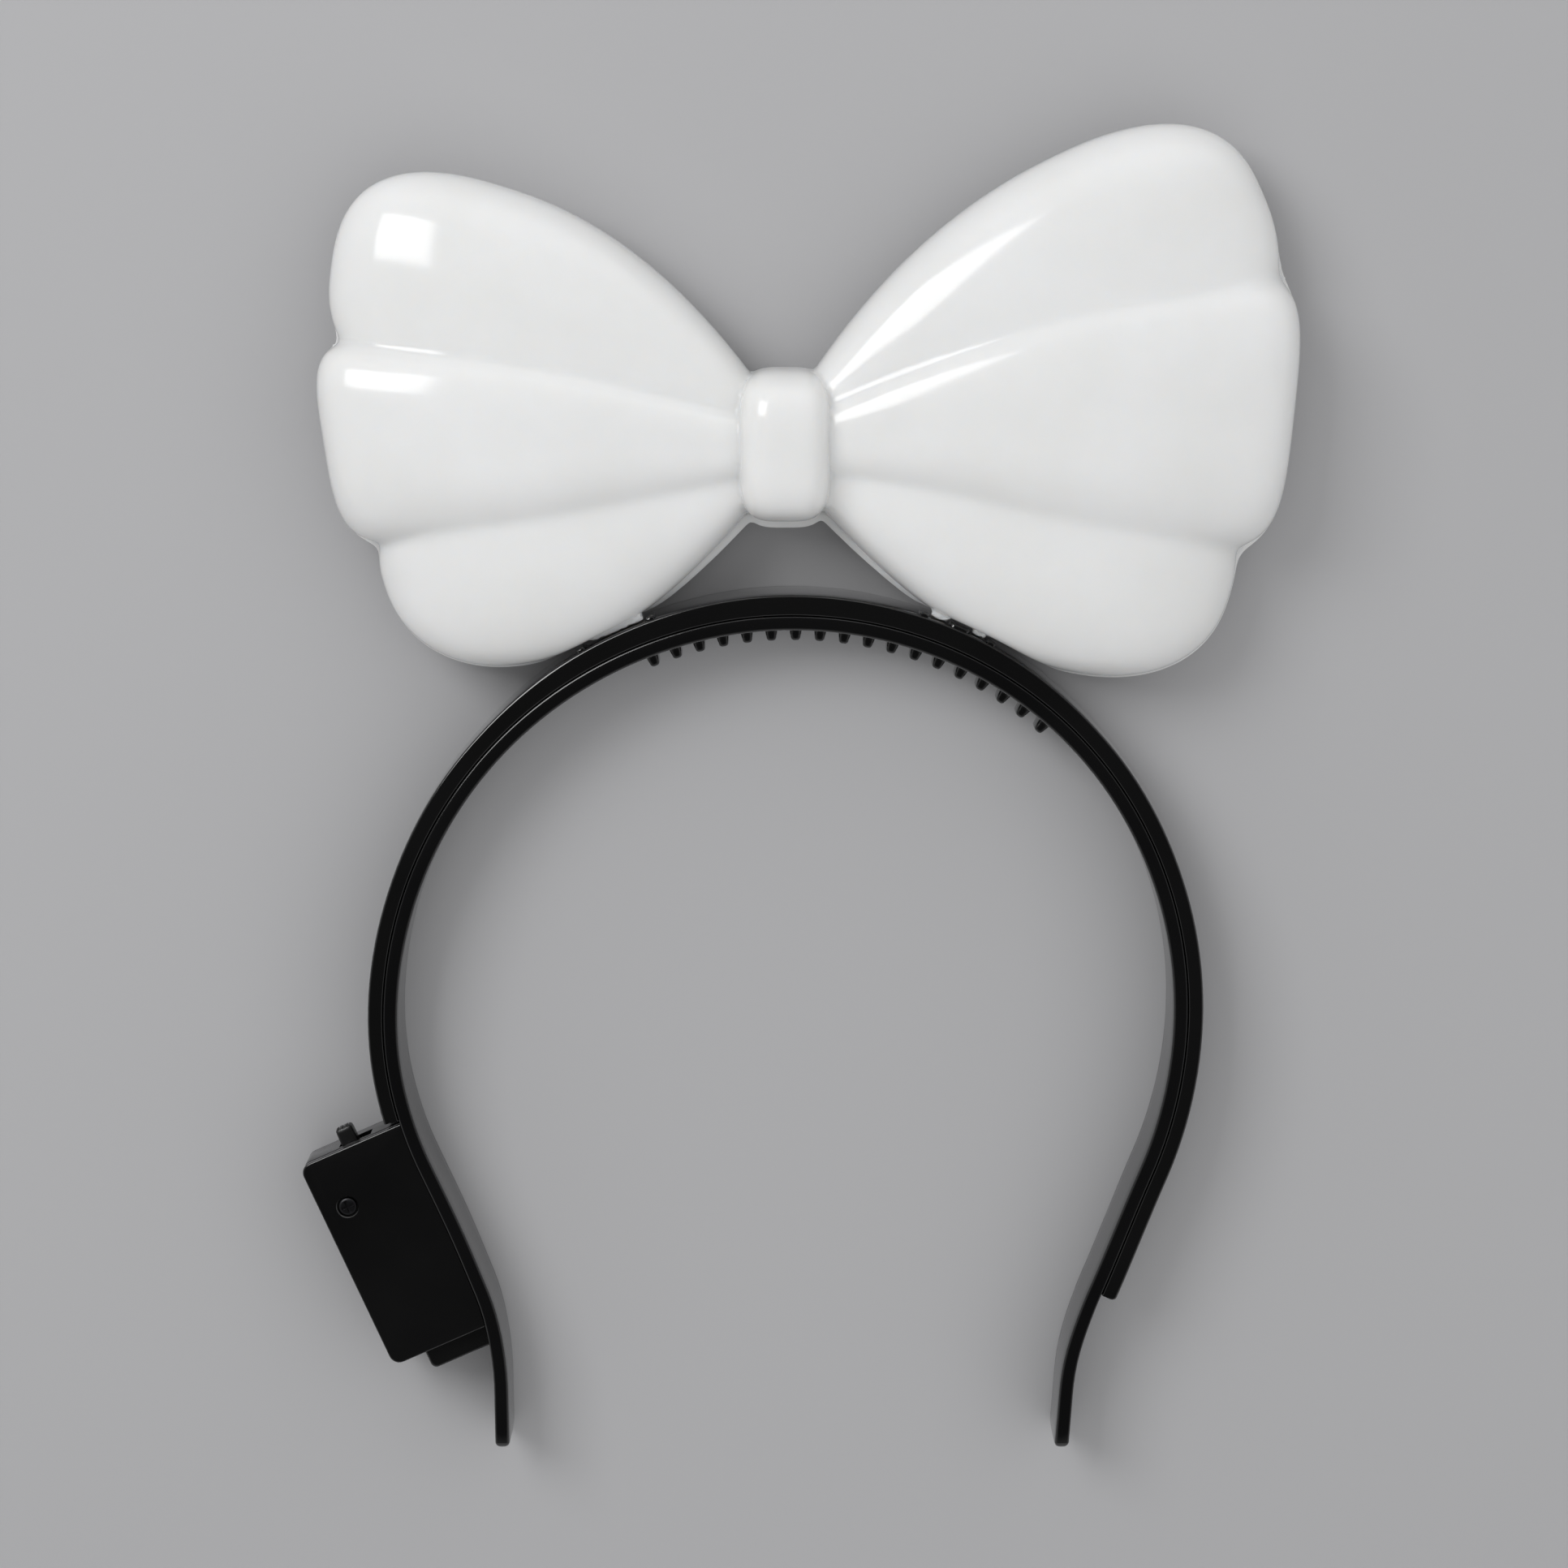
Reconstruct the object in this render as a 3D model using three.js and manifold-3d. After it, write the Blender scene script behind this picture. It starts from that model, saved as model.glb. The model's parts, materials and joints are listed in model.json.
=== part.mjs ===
// Light-up bow headband: a black plastic headband of two layers with a comb inside, a small
// battery case with a slide switch on one leg, and a hollow opal bow moulded as two shells.
// Millimetres. Built about the middle of the head arc: X to the viewer's right, Y from the head
// toward the bow, Z toward the front of the bow. It lies on its back, so Z is up.

import * as THREE from 'three';
import { mergeVertices } from 'three/addons/utils/BufferGeometryUtils.js';
import Module from 'manifold-3d';

const wasm = await Module();
wasm.setup();

// Fit between neighbouring pieces
const GAP = 0.3;

// Headband path, along the face that touches the head
const HEAD_RADIUS = 62;
const WRAP_DEG = 114;
const STRAIGHT = 22;
const FLARE_RADIUS = 44;
const TIP_STRAIGHT = 9.3;

// How far the band stands out of its round arch and straight legs, along it from the top
const SPREAD = [
  { along: -173, out: 0.9 },
  { along: -158, out: 0.95 },
  { along: -146, out: 0.4 },
  { along: -134, out: -0.05 },
  { along: -116, out: 0.05 },
  { along: -104, out: 0.05 },
  { along: -80, out: -0.55 },
  { along: -56, out: -0.85 },
  { along: -28, out: -0.8 },
  { along: 0, out: -0.25 },
  { along: 28, out: 0.25 },
  { along: 52, out: 0.45 },
  { along: 76, out: 0.3 },
  { along: 106, out: 0.2 },
  { along: 124, out: 0.55 },
  { along: 148, out: 1.5 },
  { along: 160, out: 0.9 },
  { along: 174, out: -0.05 },
];

// Headband sections
const STRIP_THICK = 2.3;
const TIP_THICK = 2.3;
const BAND_HALF_WIDTH = 7;
const TIP_HALF_WIDTH = 6.5;
const TAPER_START = 100;
const EDGE_ROUND = 0.5;

// Comb inside the headband
const TOOTH_COUNT = 18;
const TOOTH_FIRST_DEG = -20.2;
const TOOTH_PITCH_DEG = 3.64;
const TOOTH_BASE = 2.1;
const TOOTH_END = 1.4;
const TOOTH_HEIGHT = 2.1;
const TOOTH_DEPTH = 6;

// Outer wire cover of the headband, thickest at the top
const COVER_LEFT_END = 114.4;
const COVER_RIGHT_END = 145;
const COVER_THICKNESS = [
  { along: 0, thick: 3.0 },
  { along: 28, thick: 2.85 },
  { along: 55, thick: 2.4 },
  { along: 80, thick: 2.15 },
  { along: 145, thick: 2.15 },
];

// Clip tabs on the cover and the bow feet between them
const TABS = [
  { degrees: -28.7, wide: 1.5 },
  { degrees: -18.4, wide: 1.5 },
  { degrees: 18.9, wide: 1.6 },
  { degrees: 24, wide: 3.4 },
  { degrees: 28.6, wide: 1.6 },
];
const TAB = { tall: 0.55, back: 0.5, front: 6.7 };
const BOW_CLEAR = 0.9;
const SEAT_X = 1.5;
const FEET = [
  { from: -27, to: -19.3 },
  { from: 19.8, to: 22.3 },
  { from: 25.65, to: 27.6 },
];
const FOOT = { tall: 3.2, back: 2.4, front: 6 };

// Battery case, in its own frame: x toward the band, y up the leg, z to the front
const CASE = { wide: 19.4, top: 8.6, bottom: -27.6, back: -3, front: 6.4, corner: 1.7, seat: -2 };
const CASE_WALL = 1.5;
const LID_THICK = 1.2;
const HEEL = { wide: 12, tall: 9, drop: 3.6, back: -2.4, front: 4.4, seat: 0.2 };
const SCREW = { x: -13, y: -0.4, head: 1.4, shank: 0.8, boss: 2.4, recess: 0.5, slot: 0.5 };
const KNOB = { x: -8.8, wide: 3, z: 2.2, deep: 2.8, proud: 2.7, flange: 1.2, flangeThick: 1 };
const SWITCH_TRAVEL = 2;

// Bow: knot centre height above the arc centre, seam level between the two shells, wall
const KNOT_Y = 90.2;
const SEAM_Z = 2;
const WALL = 1.5;
const BACK_SHARE = 0.5;
const DEPTH_RISE = 0.8;
const ROOT_DEPTH = 0.5;
const BACK_SLIP = { x: 0.1, y: -0.5 };
const KNOT = { rise: 0.7, halfWide: 7.3, halfTall: 11.9, lip: 1, front: 15.5, section: 3.8 };

// Pleats of the bow: each runs from the knot at a tilt to its reach, widest at the given share
// of that, and crowns to the front up to its crest, past which it droops. A low rise fills it out
// near the knot, a high shoulder, belly or end power squares that side, and skew pushes its upper
// end corner outward. The lip makes the back shell fuller there than the front one.
const PLEATS = [
  { side: -1, root: 3, tilt: 19, reach: 75, fullest: 0.63, above: 21.4, below: 16,
    rootAbove: 0, rootBelow: 0, lip: 0, riseAbove: 0.88, riseBelow: 0.8, crown: 12.5, crest: 0.5, droop: 0.1,
    shoulder: 2.6, belly: 2.6, endPower: 2.6, skew: 0.2 },
  { side: -1, root: 0.5, tilt: 0, reach: 72, fullest: 0.82, above: 16.4, below: 15.4,
    rootAbove: 3.6, rootBelow: 4.6, lip: 0, riseAbove: 1.05, riseBelow: 1.15, crown: 16.5, crest: 0.45, droop: 0.3,
    shoulder: 4, belly: 2.7, endPower: 4.3, skew: 0.14 },
  { side: -1, root: -3, tilt: -16, reach: 66, fullest: 0.66, above: 15, below: 18.8,
    rootAbove: 0, rootBelow: 0, lip: 1.5, riseAbove: 0.8, riseBelow: 0.98, crown: 12.5, crest: 0.5, droop: 0.1,
    shoulder: 2.6, belly: 2.6, endPower: 2.2, skew: 0 },
  { side: 1, root: 3, tilt: 27, reach: 83, fullest: 0.64, above: 18.7, below: 24,
    rootAbove: 0, rootBelow: 0, lip: 0, riseAbove: 0.8, riseBelow: 0.8, crown: 12.5, crest: 0.5, droop: 0.1,
    shoulder: 2.6, belly: 2.6, endPower: 2.5, skew: 0.03 },
  { side: 1, root: 1.5, tilt: 2, reach: 79.5, fullest: 0.8, above: 23.2, below: 19.9,
    rootAbove: 1.6, rootBelow: 6.4, lip: 0, riseAbove: 0.88, riseBelow: 1.9, crown: 16.5, crest: 0.45, droop: 0.3,
    shoulder: 3.6, belly: 2.7, endPower: 4.4, skew: 0.125 },
  { side: 1, root: -3, tilt: -16, reach: 73.2, fullest: 0.65, above: 18.5, below: 18.8,
    rootAbove: 0, rootBelow: 0, lip: 1.5, riseAbove: 0.8, riseBelow: 0.98, crown: 12.5, crest: 0.5, droop: 0.1,
    shoulder: 2.6, belly: 2.6, endPower: 2.3, skew: 0 },
];

const rad = THREE.MathUtils.degToRad;
const LEAN = rad(WRAP_DEG - 90);
const ARC_LENGTH = HEAD_RADIUS * rad(WRAP_DEG);
const FLARE_LENGTH = FLARE_RADIUS * LEAN;
const LEG_LENGTH = ARC_LENGTH + STRAIGHT + FLARE_LENGTH + TIP_STRAIGHT;

const BLACK_GLOSS = { color: 0x0b0b0c, roughness: 0.28, metalness: 0 };
const BLACK_SATIN = { color: 0x111112, roughness: 0.42, metalness: 0 };
const OPAL = { color: 0xf1f0ec, roughness: 0.14, metalness: 0 };
const STEEL = { color: 0x6f7073, roughness: 0.35, metalness: 1 };

function toSolid(geometry) {
  const bare = geometry.clone();
  bare.deleteAttribute('normal');
  bare.deleteAttribute('uv');
  const merged = mergeVertices(bare, 1e-4);
  const shape = new wasm.Mesh({
    numProp: 3,
    vertProperties: new Float32Array(merged.attributes.position.array),
    triVerts: new Uint32Array(merged.index.array),
  });
  return new wasm.Manifold(shape);
}

function toMesh(name, solid, finish) {
  const shape = solid.getMesh();
  const geometry = new THREE.BufferGeometry();
  geometry.setAttribute('position', new THREE.BufferAttribute(new Float32Array(shape.vertProperties), 3));
  geometry.setIndex(new THREE.BufferAttribute(new Uint32Array(shape.triVerts), 1));
  geometry.computeVertexNormals();
  const mesh = new THREE.Mesh(geometry, new THREE.MeshStandardMaterial(finish));
  mesh.name = name;
  return mesh;
}

// Closes a run of equal rings of points into one solid, with a flat end at each end.
function ringSolid(rings) {
  const count = rings[0].length;
  const positions = [];
  for (const ring of rings) {
    for (const point of ring) {
      positions.push(point.x, point.y, point.z);
    }
  }
  const ends = [rings[0], rings[rings.length - 1]];
  for (const ring of ends) {
    const middle = new THREE.Vector3();
    for (const point of ring) {
      middle.addScaledVector(point, 1 / count);
    }
    positions.push(middle.x, middle.y, middle.z);
  }
  const index = [];
  for (let i = 0; i + 1 < rings.length; i += 1) {
    for (let j = 0; j < count; j += 1) {
      const next = (j + 1) % count;
      const a = i * count + j;
      const b = i * count + next;
      index.push(a, b, b + count);
      index.push(a, b + count, a + count);
    }
  }
  const firstEnd = rings.length * count;
  const lastRing = (rings.length - 1) * count;
  for (let j = 0; j < count; j += 1) {
    const next = (j + 1) % count;
    index.push(firstEnd, next, j);
    index.push(firstEnd + 1, lastRing + j, lastRing + next);
  }
  const geometry = new THREE.BufferGeometry();
  geometry.setAttribute('position', new THREE.Float32BufferAttribute(positions, 3));
  geometry.setIndex(signedVolume(positions, index) > 0 ? index : index.reverse());
  return toSolid(geometry);
}

function signedVolume(positions, index) {
  let six = 0;
  for (let t = 0; t < index.length; t += 3) {
    const a = new THREE.Vector3().fromArray(positions, index[t] * 3);
    const b = new THREE.Vector3().fromArray(positions, index[t + 1] * 3);
    const c = new THREE.Vector3().fromArray(positions, index[t + 2] * 3);
    six += a.dot(b.cross(c));
  }
  return six;
}

// How far the band stands out at a distance along it, on a smooth curve through the rows.
function spreadAt(along) {
  const last = SPREAD.length - 1;
  const d = THREE.MathUtils.clamp(along, SPREAD[0].along, SPREAD[last].along);
  let i = 0;
  while (i < last - 1 && d > SPREAD[i + 1].along) {
    i += 1;
  }
  const slope = (k) => {
    const a = SPREAD[Math.max(0, k - 1)];
    const b = SPREAD[Math.min(last, k + 1)];
    return (b.out - a.out) / (b.along - a.along);
  };
  const step = SPREAD[i + 1].along - SPREAD[i].along;
  const t = (d - SPREAD[i].along) / step;
  const from = SPREAD[i].out * (1 + 2 * t) + slope(i) * step * t;
  const to = SPREAD[i + 1].out * (3 - 2 * t) - slope(i + 1) * step * (1 - t);
  return from * (1 - t) ** 2 + to * t ** 2;
}

// Point and outward direction on the head face, a signed distance along it from the top.
function bandFrame(along) {
  const side = along < 0 ? -1 : 1;
  const d = Math.abs(along);
  const arcEnd = new THREE.Vector2(HEAD_RADIUS * Math.cos(LEAN), -HEAD_RADIUS * Math.sin(LEAN));
  const downLeg = new THREE.Vector2(-Math.sin(LEAN), -Math.cos(LEAN));
  const legOut = new THREE.Vector2(Math.cos(LEAN), -Math.sin(LEAN));
  let point;
  let out;
  if (d <= ARC_LENGTH) {
    const turn = d / HEAD_RADIUS;
    out = new THREE.Vector2(Math.sin(turn), Math.cos(turn));
    point = out.clone().multiplyScalar(HEAD_RADIUS);
  } else if (d <= ARC_LENGTH + STRAIGHT) {
    out = legOut;
    point = arcEnd.addScaledVector(downLeg, d - ARC_LENGTH);
  } else {
    const past = d - ARC_LENGTH - STRAIGHT;
    const turn = LEAN - Math.min(past, FLARE_LENGTH) / FLARE_RADIUS;
    out = new THREE.Vector2(Math.cos(turn), -Math.sin(turn));
    point = arcEnd.addScaledVector(downLeg, STRAIGHT).addScaledVector(legOut, FLARE_RADIUS);
    point.addScaledVector(out, -FLARE_RADIUS);
    point.y -= Math.max(0, past - FLARE_LENGTH);
  }
  point.addScaledVector(out, spreadAt(along));
  return { x: side * point.x, y: point.y, outX: side * out.x, outY: out.y };
}

function halfWidth(along) {
  const share = THREE.MathUtils.smoothstep(Math.abs(along), TAPER_START, LEG_LENGTH);
  return THREE.MathUtils.lerp(BAND_HALF_WIDTH, TIP_HALF_WIDTH, share);
}

function coverThickness(along) {
  const d = Math.abs(along);
  for (let i = 0; i + 1 < COVER_THICKNESS.length; i += 1) {
    const a = COVER_THICKNESS[i];
    const b = COVER_THICKNESS[i + 1];
    if (d <= b.along) {
      const share = THREE.MathUtils.smoothstep(d, a.along, b.along);
      return THREE.MathUtils.lerp(a.thick, b.thick, share);
    }
  }
  return COVER_THICKNESS[COVER_THICKNESS.length - 1].thick;
}

// One ring of the band between two offsets from the head face, with eased corners.
function bandRing(along, inner, outer) {
  const frame = bandFrame(along);
  const half = halfWidth(along);
  const ease = Math.min(EDGE_ROUND, (outer - inner) * 0.4);
  const corners = [
    [inner + ease, -half], [outer - ease, -half], [outer, -half + ease], [outer, half - ease],
    [outer - ease, half], [inner + ease, half], [inner, half - ease], [inner, -half + ease],
  ];
  return corners.map(([offset, z]) => new THREE.Vector3(
    frame.x + frame.outX * offset,
    frame.y + frame.outY * offset,
    z,
  ));
}

// Stations along the band between two distances, close together on the curves.
function stations(from, to, spacing) {
  const steps = Math.ceil((to - from) / spacing);
  const list = [];
  for (let i = 0; i <= steps; i += 1) {
    list.push(from + ((to - from) * i) / steps);
  }
  return list;
}

function bandStrip() {
  const rings = [];
  const roundLength = TIP_THICK / 2;
  const flat = LEG_LENGTH - roundLength;
  const tipShares = [0.25, 0.5, 0.7, 0.85, 0.96];
  const tips = tipShares.map((share) => flat + roundLength * share);
  const runs = [...tips.map((d) => -d).reverse(), ...stations(-flat, flat, 4.2), ...tips];
  for (const along of runs) {
    const toTip = THREE.MathUtils.smoothstep(Math.abs(along), ARC_LENGTH + STRAIGHT, LEG_LENGTH);
    const thick = THREE.MathUtils.lerp(STRIP_THICK, TIP_THICK, toTip);
    const past = Math.max(0, Math.abs(along) - flat) / roundLength;
    const pinch = (thick / 2) * (1 - Math.sqrt(1 - past * past));
    rings.push(bandRing(along, pinch, thick - pinch));
  }
  return ringSolid(rings);
}

// One comb tooth: a tongue with a round end, pointing at the middle of the head.
function tooth(degrees) {
  const outline = new THREE.Shape();
  const endRadius = TOOTH_END / 2;
  outline.moveTo(-TOOTH_BASE / 2, 0.5);
  outline.lineTo(-endRadius, -TOOTH_HEIGHT + endRadius);
  outline.absarc(0, -TOOTH_HEIGHT + endRadius, endRadius, Math.PI, 2 * Math.PI, false);
  outline.lineTo(TOOTH_BASE / 2, 0.5);
  const geometry = new THREE.ExtrudeGeometry(outline, {
    depth: TOOTH_DEPTH, bevelEnabled: false, curveSegments: 4,
  });
  geometry.translate(0, HEAD_RADIUS + spreadAt(HEAD_RADIUS * rad(degrees)), -TOOTH_DEPTH / 2);
  geometry.rotateZ(-rad(degrees));
  return toSolid(geometry);
}

function headband() {
  let solid = bandStrip();
  for (let i = 0; i < TOOTH_COUNT; i += 1) {
    solid = solid.add(tooth(TOOTH_FIRST_DEG + i * TOOTH_PITCH_DEG));
  }
  return solid;
}

// A block standing on the band at an angle from the top, between two levels of radius.
function radialBlock(degrees, wide, low, high, back, front) {
  const geometry = new THREE.BoxGeometry(wide, high - low, front - back);
  geometry.translate(0, (low + high) / 2, (back + front) / 2);
  geometry.rotateZ(-rad(degrees));
  return toSolid(geometry);
}

function coverTop(degrees) {
  const along = HEAD_RADIUS * rad(degrees);
  return HEAD_RADIUS + spreadAt(along) + STRIP_THICK + GAP + coverThickness(along);
}

function bandCover() {
  const rings = [];
  for (const along of stations(-COVER_LEFT_END, COVER_RIGHT_END, 4.2)) {
    const inner = STRIP_THICK + GAP;
    rings.push(bandRing(along, inner, inner + coverThickness(along)));
  }
  let solid = ringSolid(rings);
  for (const tab of TABS) {
    const top = coverTop(tab.degrees);
    solid = solid.add(radialBlock(tab.degrees, tab.wide, top - 1, top + TAB.tall, TAB.back, TAB.front));
  }
  return solid;
}

// Places a case piece made in the case frame against the left leg.
function onLeg(geometry) {
  const frame = bandFrame(-ARC_LENGTH);
  geometry.rotateZ(LEAN);
  geometry.translate(frame.x + frame.outX * STRIP_THICK, frame.y + frame.outY * STRIP_THICK, 0);
  return toSolid(geometry);
}

// A plate with round corners between two levels, with an eased edge where asked.
function roundPlate(x0, x1, y0, y1, corner, back, front, ease) {
  const outline = new THREE.Shape();
  outline.moveTo(x0 + corner, y0);
  outline.lineTo(x1 - corner, y0);
  outline.absarc(x1 - corner, y0 + corner, corner, -Math.PI / 2, 0, false);
  outline.lineTo(x1, y1 - corner);
  outline.absarc(x1 - corner, y1 - corner, corner, 0, Math.PI / 2, false);
  outline.lineTo(x0 + corner, y1);
  outline.absarc(x0 + corner, y1 - corner, corner, Math.PI / 2, Math.PI, false);
  outline.lineTo(x0, y0 + corner);
  outline.absarc(x0 + corner, y0 + corner, corner, Math.PI, 1.5 * Math.PI, false);
  const geometry = new THREE.ExtrudeGeometry(outline, {
    depth: front - back - 2 * ease,
    bevelEnabled: ease > 0,
    bevelThickness: ease,
    bevelSize: ease,
    bevelOffset: -ease,
    bevelSegments: 2,
    curveSegments: 4,
  });
  geometry.translate(0, 0, back + ease);
  return geometry;
}

function block(x0, x1, y0, y1, z0, z1) {
  const geometry = new THREE.BoxGeometry(x1 - x0, y1 - y0, z1 - z0);
  geometry.translate((x0 + x1) / 2, (y0 + y1) / 2, (z0 + z1) / 2);
  return geometry;
}

function roundPin(radius, z0, z1) {
  const geometry = new THREE.CylinderGeometry(radius, radius, z1 - z0, 20);
  geometry.rotateX(Math.PI / 2);
  geometry.translate(SCREW.x, SCREW.y, (z0 + z1) / 2);
  return geometry;
}

// What is cut from the case's side, so that it follows the leg with a small gap.
function legRoom() {
  const rings = [];
  for (const along of stations(-168, -106, 4)) {
    const frame = bandFrame(along);
    const corners = [[-3, -9], [STRIP_THICK + GAP, -9], [STRIP_THICK + GAP, 9], [-3, 9]];
    rings.push(corners.map(([offset, z]) => new THREE.Vector3(
      frame.x + frame.outX * offset,
      frame.y + frame.outY * offset,
      z,
    )));
  }
  return ringSolid(rings);
}

const CASE_X1 = -CASE.seat;
const CASE_X0 = CASE_X1 - CASE.wide;
const TRAY_FRONT = CASE.front - LID_THICK - GAP;
const LID_BACK = CASE.front - LID_THICK;

function batteryCase() {
  const outer = roundPlate(CASE_X0, CASE_X1, CASE.bottom, CASE.top, CASE.corner, CASE.back, TRAY_FRONT, 0.5);
  const heelTop = CASE.bottom + HEEL.tall - HEEL.drop;
  const heelLow = CASE.bottom - HEEL.drop;
  const heelX1 = -HEEL.seat;
  const heelX0 = heelX1 - HEEL.wide;
  const heel = roundPlate(heelX0, heelX1, heelLow, heelTop, 1, HEEL.back, HEEL.front, 0.4);
  const hollow = roundPlate(
    CASE_X0 + CASE_WALL, CASE_X1 - CASE_WALL - 3.4,
    CASE.bottom + CASE_WALL, CASE.top - CASE_WALL,
    1, CASE.back + CASE_WALL, TRAY_FRONT + 5, 0,
  );
  const slot = block(
    KNOB.x - KNOB.wide / 2 - GAP, KNOB.x + KNOB.wide / 2 + SWITCH_TRAVEL + GAP,
    CASE.top - CASE_WALL - 1, CASE.top + 1,
    KNOB.z - KNOB.deep / 2 - GAP, KNOB.z + KNOB.deep / 2 + GAP,
  );
  const boss = roundPin(SCREW.boss, CASE.back + 0.5, TRAY_FRONT);
  const bore = roundPin(SCREW.shank + GAP, CASE.back + CASE_WALL + 1, TRAY_FRONT + 1);
  return onLeg(outer).add(onLeg(heel)).subtract(onLeg(hollow)).subtract(onLeg(slot))
    .add(onLeg(boss)).subtract(onLeg(bore)).subtract(legRoom());
}

function batteryLid() {
  const plate = roundPlate(CASE_X0, CASE_X1, CASE.bottom, CASE.top, CASE.corner, LID_BACK, CASE.front, 0.4);
  const hole = roundPin(SCREW.shank + GAP, LID_BACK - 1, CASE.front + 1);
  const recess = roundPin(SCREW.head + GAP, CASE.front - SCREW.recess - GAP, CASE.front + 1);
  return onLeg(plate).subtract(onLeg(hole)).subtract(onLeg(recess)).subtract(legRoom());
}

function lidScrew() {
  const top = CASE.front - 0.05;
  const head = roundPin(SCREW.head, CASE.front - SCREW.recess, top);
  const shank = roundPin(SCREW.shank, CASE.back + CASE_WALL + 1.6, CASE.front - SCREW.recess + 0.1);
  let solid = onLeg(head).add(onLeg(shank));
  const reach = SCREW.head * 0.7;
  const half = SCREW.slot / 2;
  const cuts = [
    block(SCREW.x - reach, SCREW.x + reach, SCREW.y - half, SCREW.y + half, top - 0.35, top + 1),
    block(SCREW.x - half, SCREW.x + half, SCREW.y - reach, SCREW.y + reach, top - 0.35, top + 1),
  ];
  for (const cut of cuts) {
    solid = solid.subtract(onLeg(cut));
  }
  return solid;
}

function switchKnob() {
  const wide = KNOB.wide / 2;
  const deep = KNOB.deep / 2;
  const flangeTop = CASE.top - CASE_WALL - GAP;
  const stemLow = flangeTop - KNOB.flangeThick / 2;
  const stem = roundPlate(
    KNOB.x - wide, KNOB.x + wide, stemLow, CASE.top + KNOB.proud, 0.5, KNOB.z - deep, KNOB.z + deep, 0.3,
  );
  const flange = block(
    KNOB.x - wide - KNOB.flange, KNOB.x + wide + KNOB.flange,
    flangeTop - KNOB.flangeThick, flangeTop, KNOB.z - deep - 0.6, KNOB.z + deep + 0.6,
  );
  return onLeg(stem).add(onLeg(flange));
}

// Share of a pleat's full width or depth at a share of its reach.
function pleatSwell(share, pleat, rootShare, risePower) {
  if (share < pleat.fullest) {
    const rise = Math.sin((Math.PI / 2) * (share / pleat.fullest)) ** risePower;
    return rootShare + (1 - rootShare) * rise;
  }
  const past = (share - pleat.fullest) / (1 - pleat.fullest);
  return (1 - past ** pleat.endPower) ** (1 / pleat.endPower);
}

function power(value, exponent) {
  return Math.sign(value) * Math.abs(value) ** exponent;
}

// One puffed pleat of the bow; an inset gives the hollow inside it, and a lip of 1 the back shell's form.
function pleatSolid(pleat, rows, around, inset, lip) {
  const rings = [];
  const reach = pleat.reach - inset;
  const tilt = rad(pleat.tilt);
  for (let i = 0; i <= rows; i += 1) {
    const share = Math.min(0.999, 0.04 + 0.96 * Math.sin((Math.PI / 2) * (i / rows)));
    const rootAbove = pleat.rootAbove / pleat.above;
    const rootBelow = (pleat.rootBelow + pleat.lip * lip) / pleat.below;
    const above = (pleat.above - inset) * pleatSwell(share, pleat, rootAbove, pleat.riseAbove);
    const below = (pleat.below - inset) * pleatSwell(share, pleat, rootBelow, pleat.riseBelow);
    const overCrest = Math.max(0, (share - pleat.crest) / (1 - pleat.crest));
    const depth = pleatSwell(share, pleat, ROOT_DEPTH, DEPTH_RISE) * (1 - pleat.droop * overCrest ** 2);
    const front = (pleat.crown - inset) * depth;
    const back = (pleat.crown * BACK_SHARE - inset) * depth;
    const ring = [];
    for (let j = 0; j < around; j += 1) {
      const turn = (2 * Math.PI * j) / around;
      const section = Math.cos(turn) > 0 ? pleat.shoulder : pleat.belly;
      const across = power(Math.cos(turn), 2 / section) * (Math.cos(turn) > 0 ? above : below);
      const z = power(Math.sin(turn), 2 / section) * (Math.sin(turn) > 0 ? front : back);
      const out = share * reach + pleat.skew * across * share;
      const x = out * Math.cos(tilt) - across * Math.sin(tilt);
      const y = pleat.root + out * Math.sin(tilt) + across * Math.cos(tilt);
      ring.push(new THREE.Vector3(pleat.side * x, KNOT_Y + y, SEAM_Z + z));
    }
    rings.push(ring);
  }
  return ringSolid(rings);
}

// The knot: a barrel with soft ends and round corners, longer below where it has a lip.
function knotSolid(rows, around, inset, lip) {
  const rings = [];
  for (let i = 0; i <= rows; i += 1) {
    const share = 0.998 * Math.sin((Math.PI / 2) * ((2 * i) / rows - 1));
    const swell = (1 - Math.abs(share) ** KNOT.section) ** (1 / KNOT.section);
    const half = (KNOT.halfWide - inset) * swell;
    const tall = KNOT.halfTall - inset + (share < 0 ? KNOT.lip * lip : 0);
    const ring = [];
    for (let j = 0; j < around; j += 1) {
      const turn = (2 * Math.PI * j) / around;
      const depth = Math.sin(turn) > 0 ? KNOT.front - inset : KNOT.front * BACK_SHARE - inset;
      ring.push(new THREE.Vector3(
        power(Math.cos(turn), 2 / KNOT.section) * half,
        KNOT_Y + KNOT.rise + share * tall,
        SEAM_Z + power(Math.sin(turn), 2 / KNOT.section) * depth * swell,
      ));
    }
    rings.push(ring);
  }
  return ringSolid(rings);
}

function bowForm(rows, around, inset, lip) {
  let solid = knotSolid(rows, around, inset, lip);
  for (const pleat of PLEATS) {
    solid = solid.add(pleatSolid(pleat, rows, around, inset, lip));
  }
  return solid;
}

function slab(z0, z1) {
  return toSolid(block(-150, 150, 0, 200, z0, z1));
}

// Cuts away what would reach into the band, so the bow sits over it.
function overBand(solid, clear) {
  const radius = (coverTop(-24) + coverTop(24)) / 2 + clear;
  const geometry = new THREE.CylinderGeometry(radius, radius, 80, 96);
  geometry.rotateX(Math.PI / 2);
  geometry.translate(SEAT_X, 0, 0);
  return solid.subtract(toSolid(geometry));
}

const bowFront = bowForm(13, 18, 0, 0);
const bowBack = bowForm(13, 18, 0, 1);
const bowHollow = overBand(bowForm(9, 12, WALL, 0), BOW_CLEAR + WALL);

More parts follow.
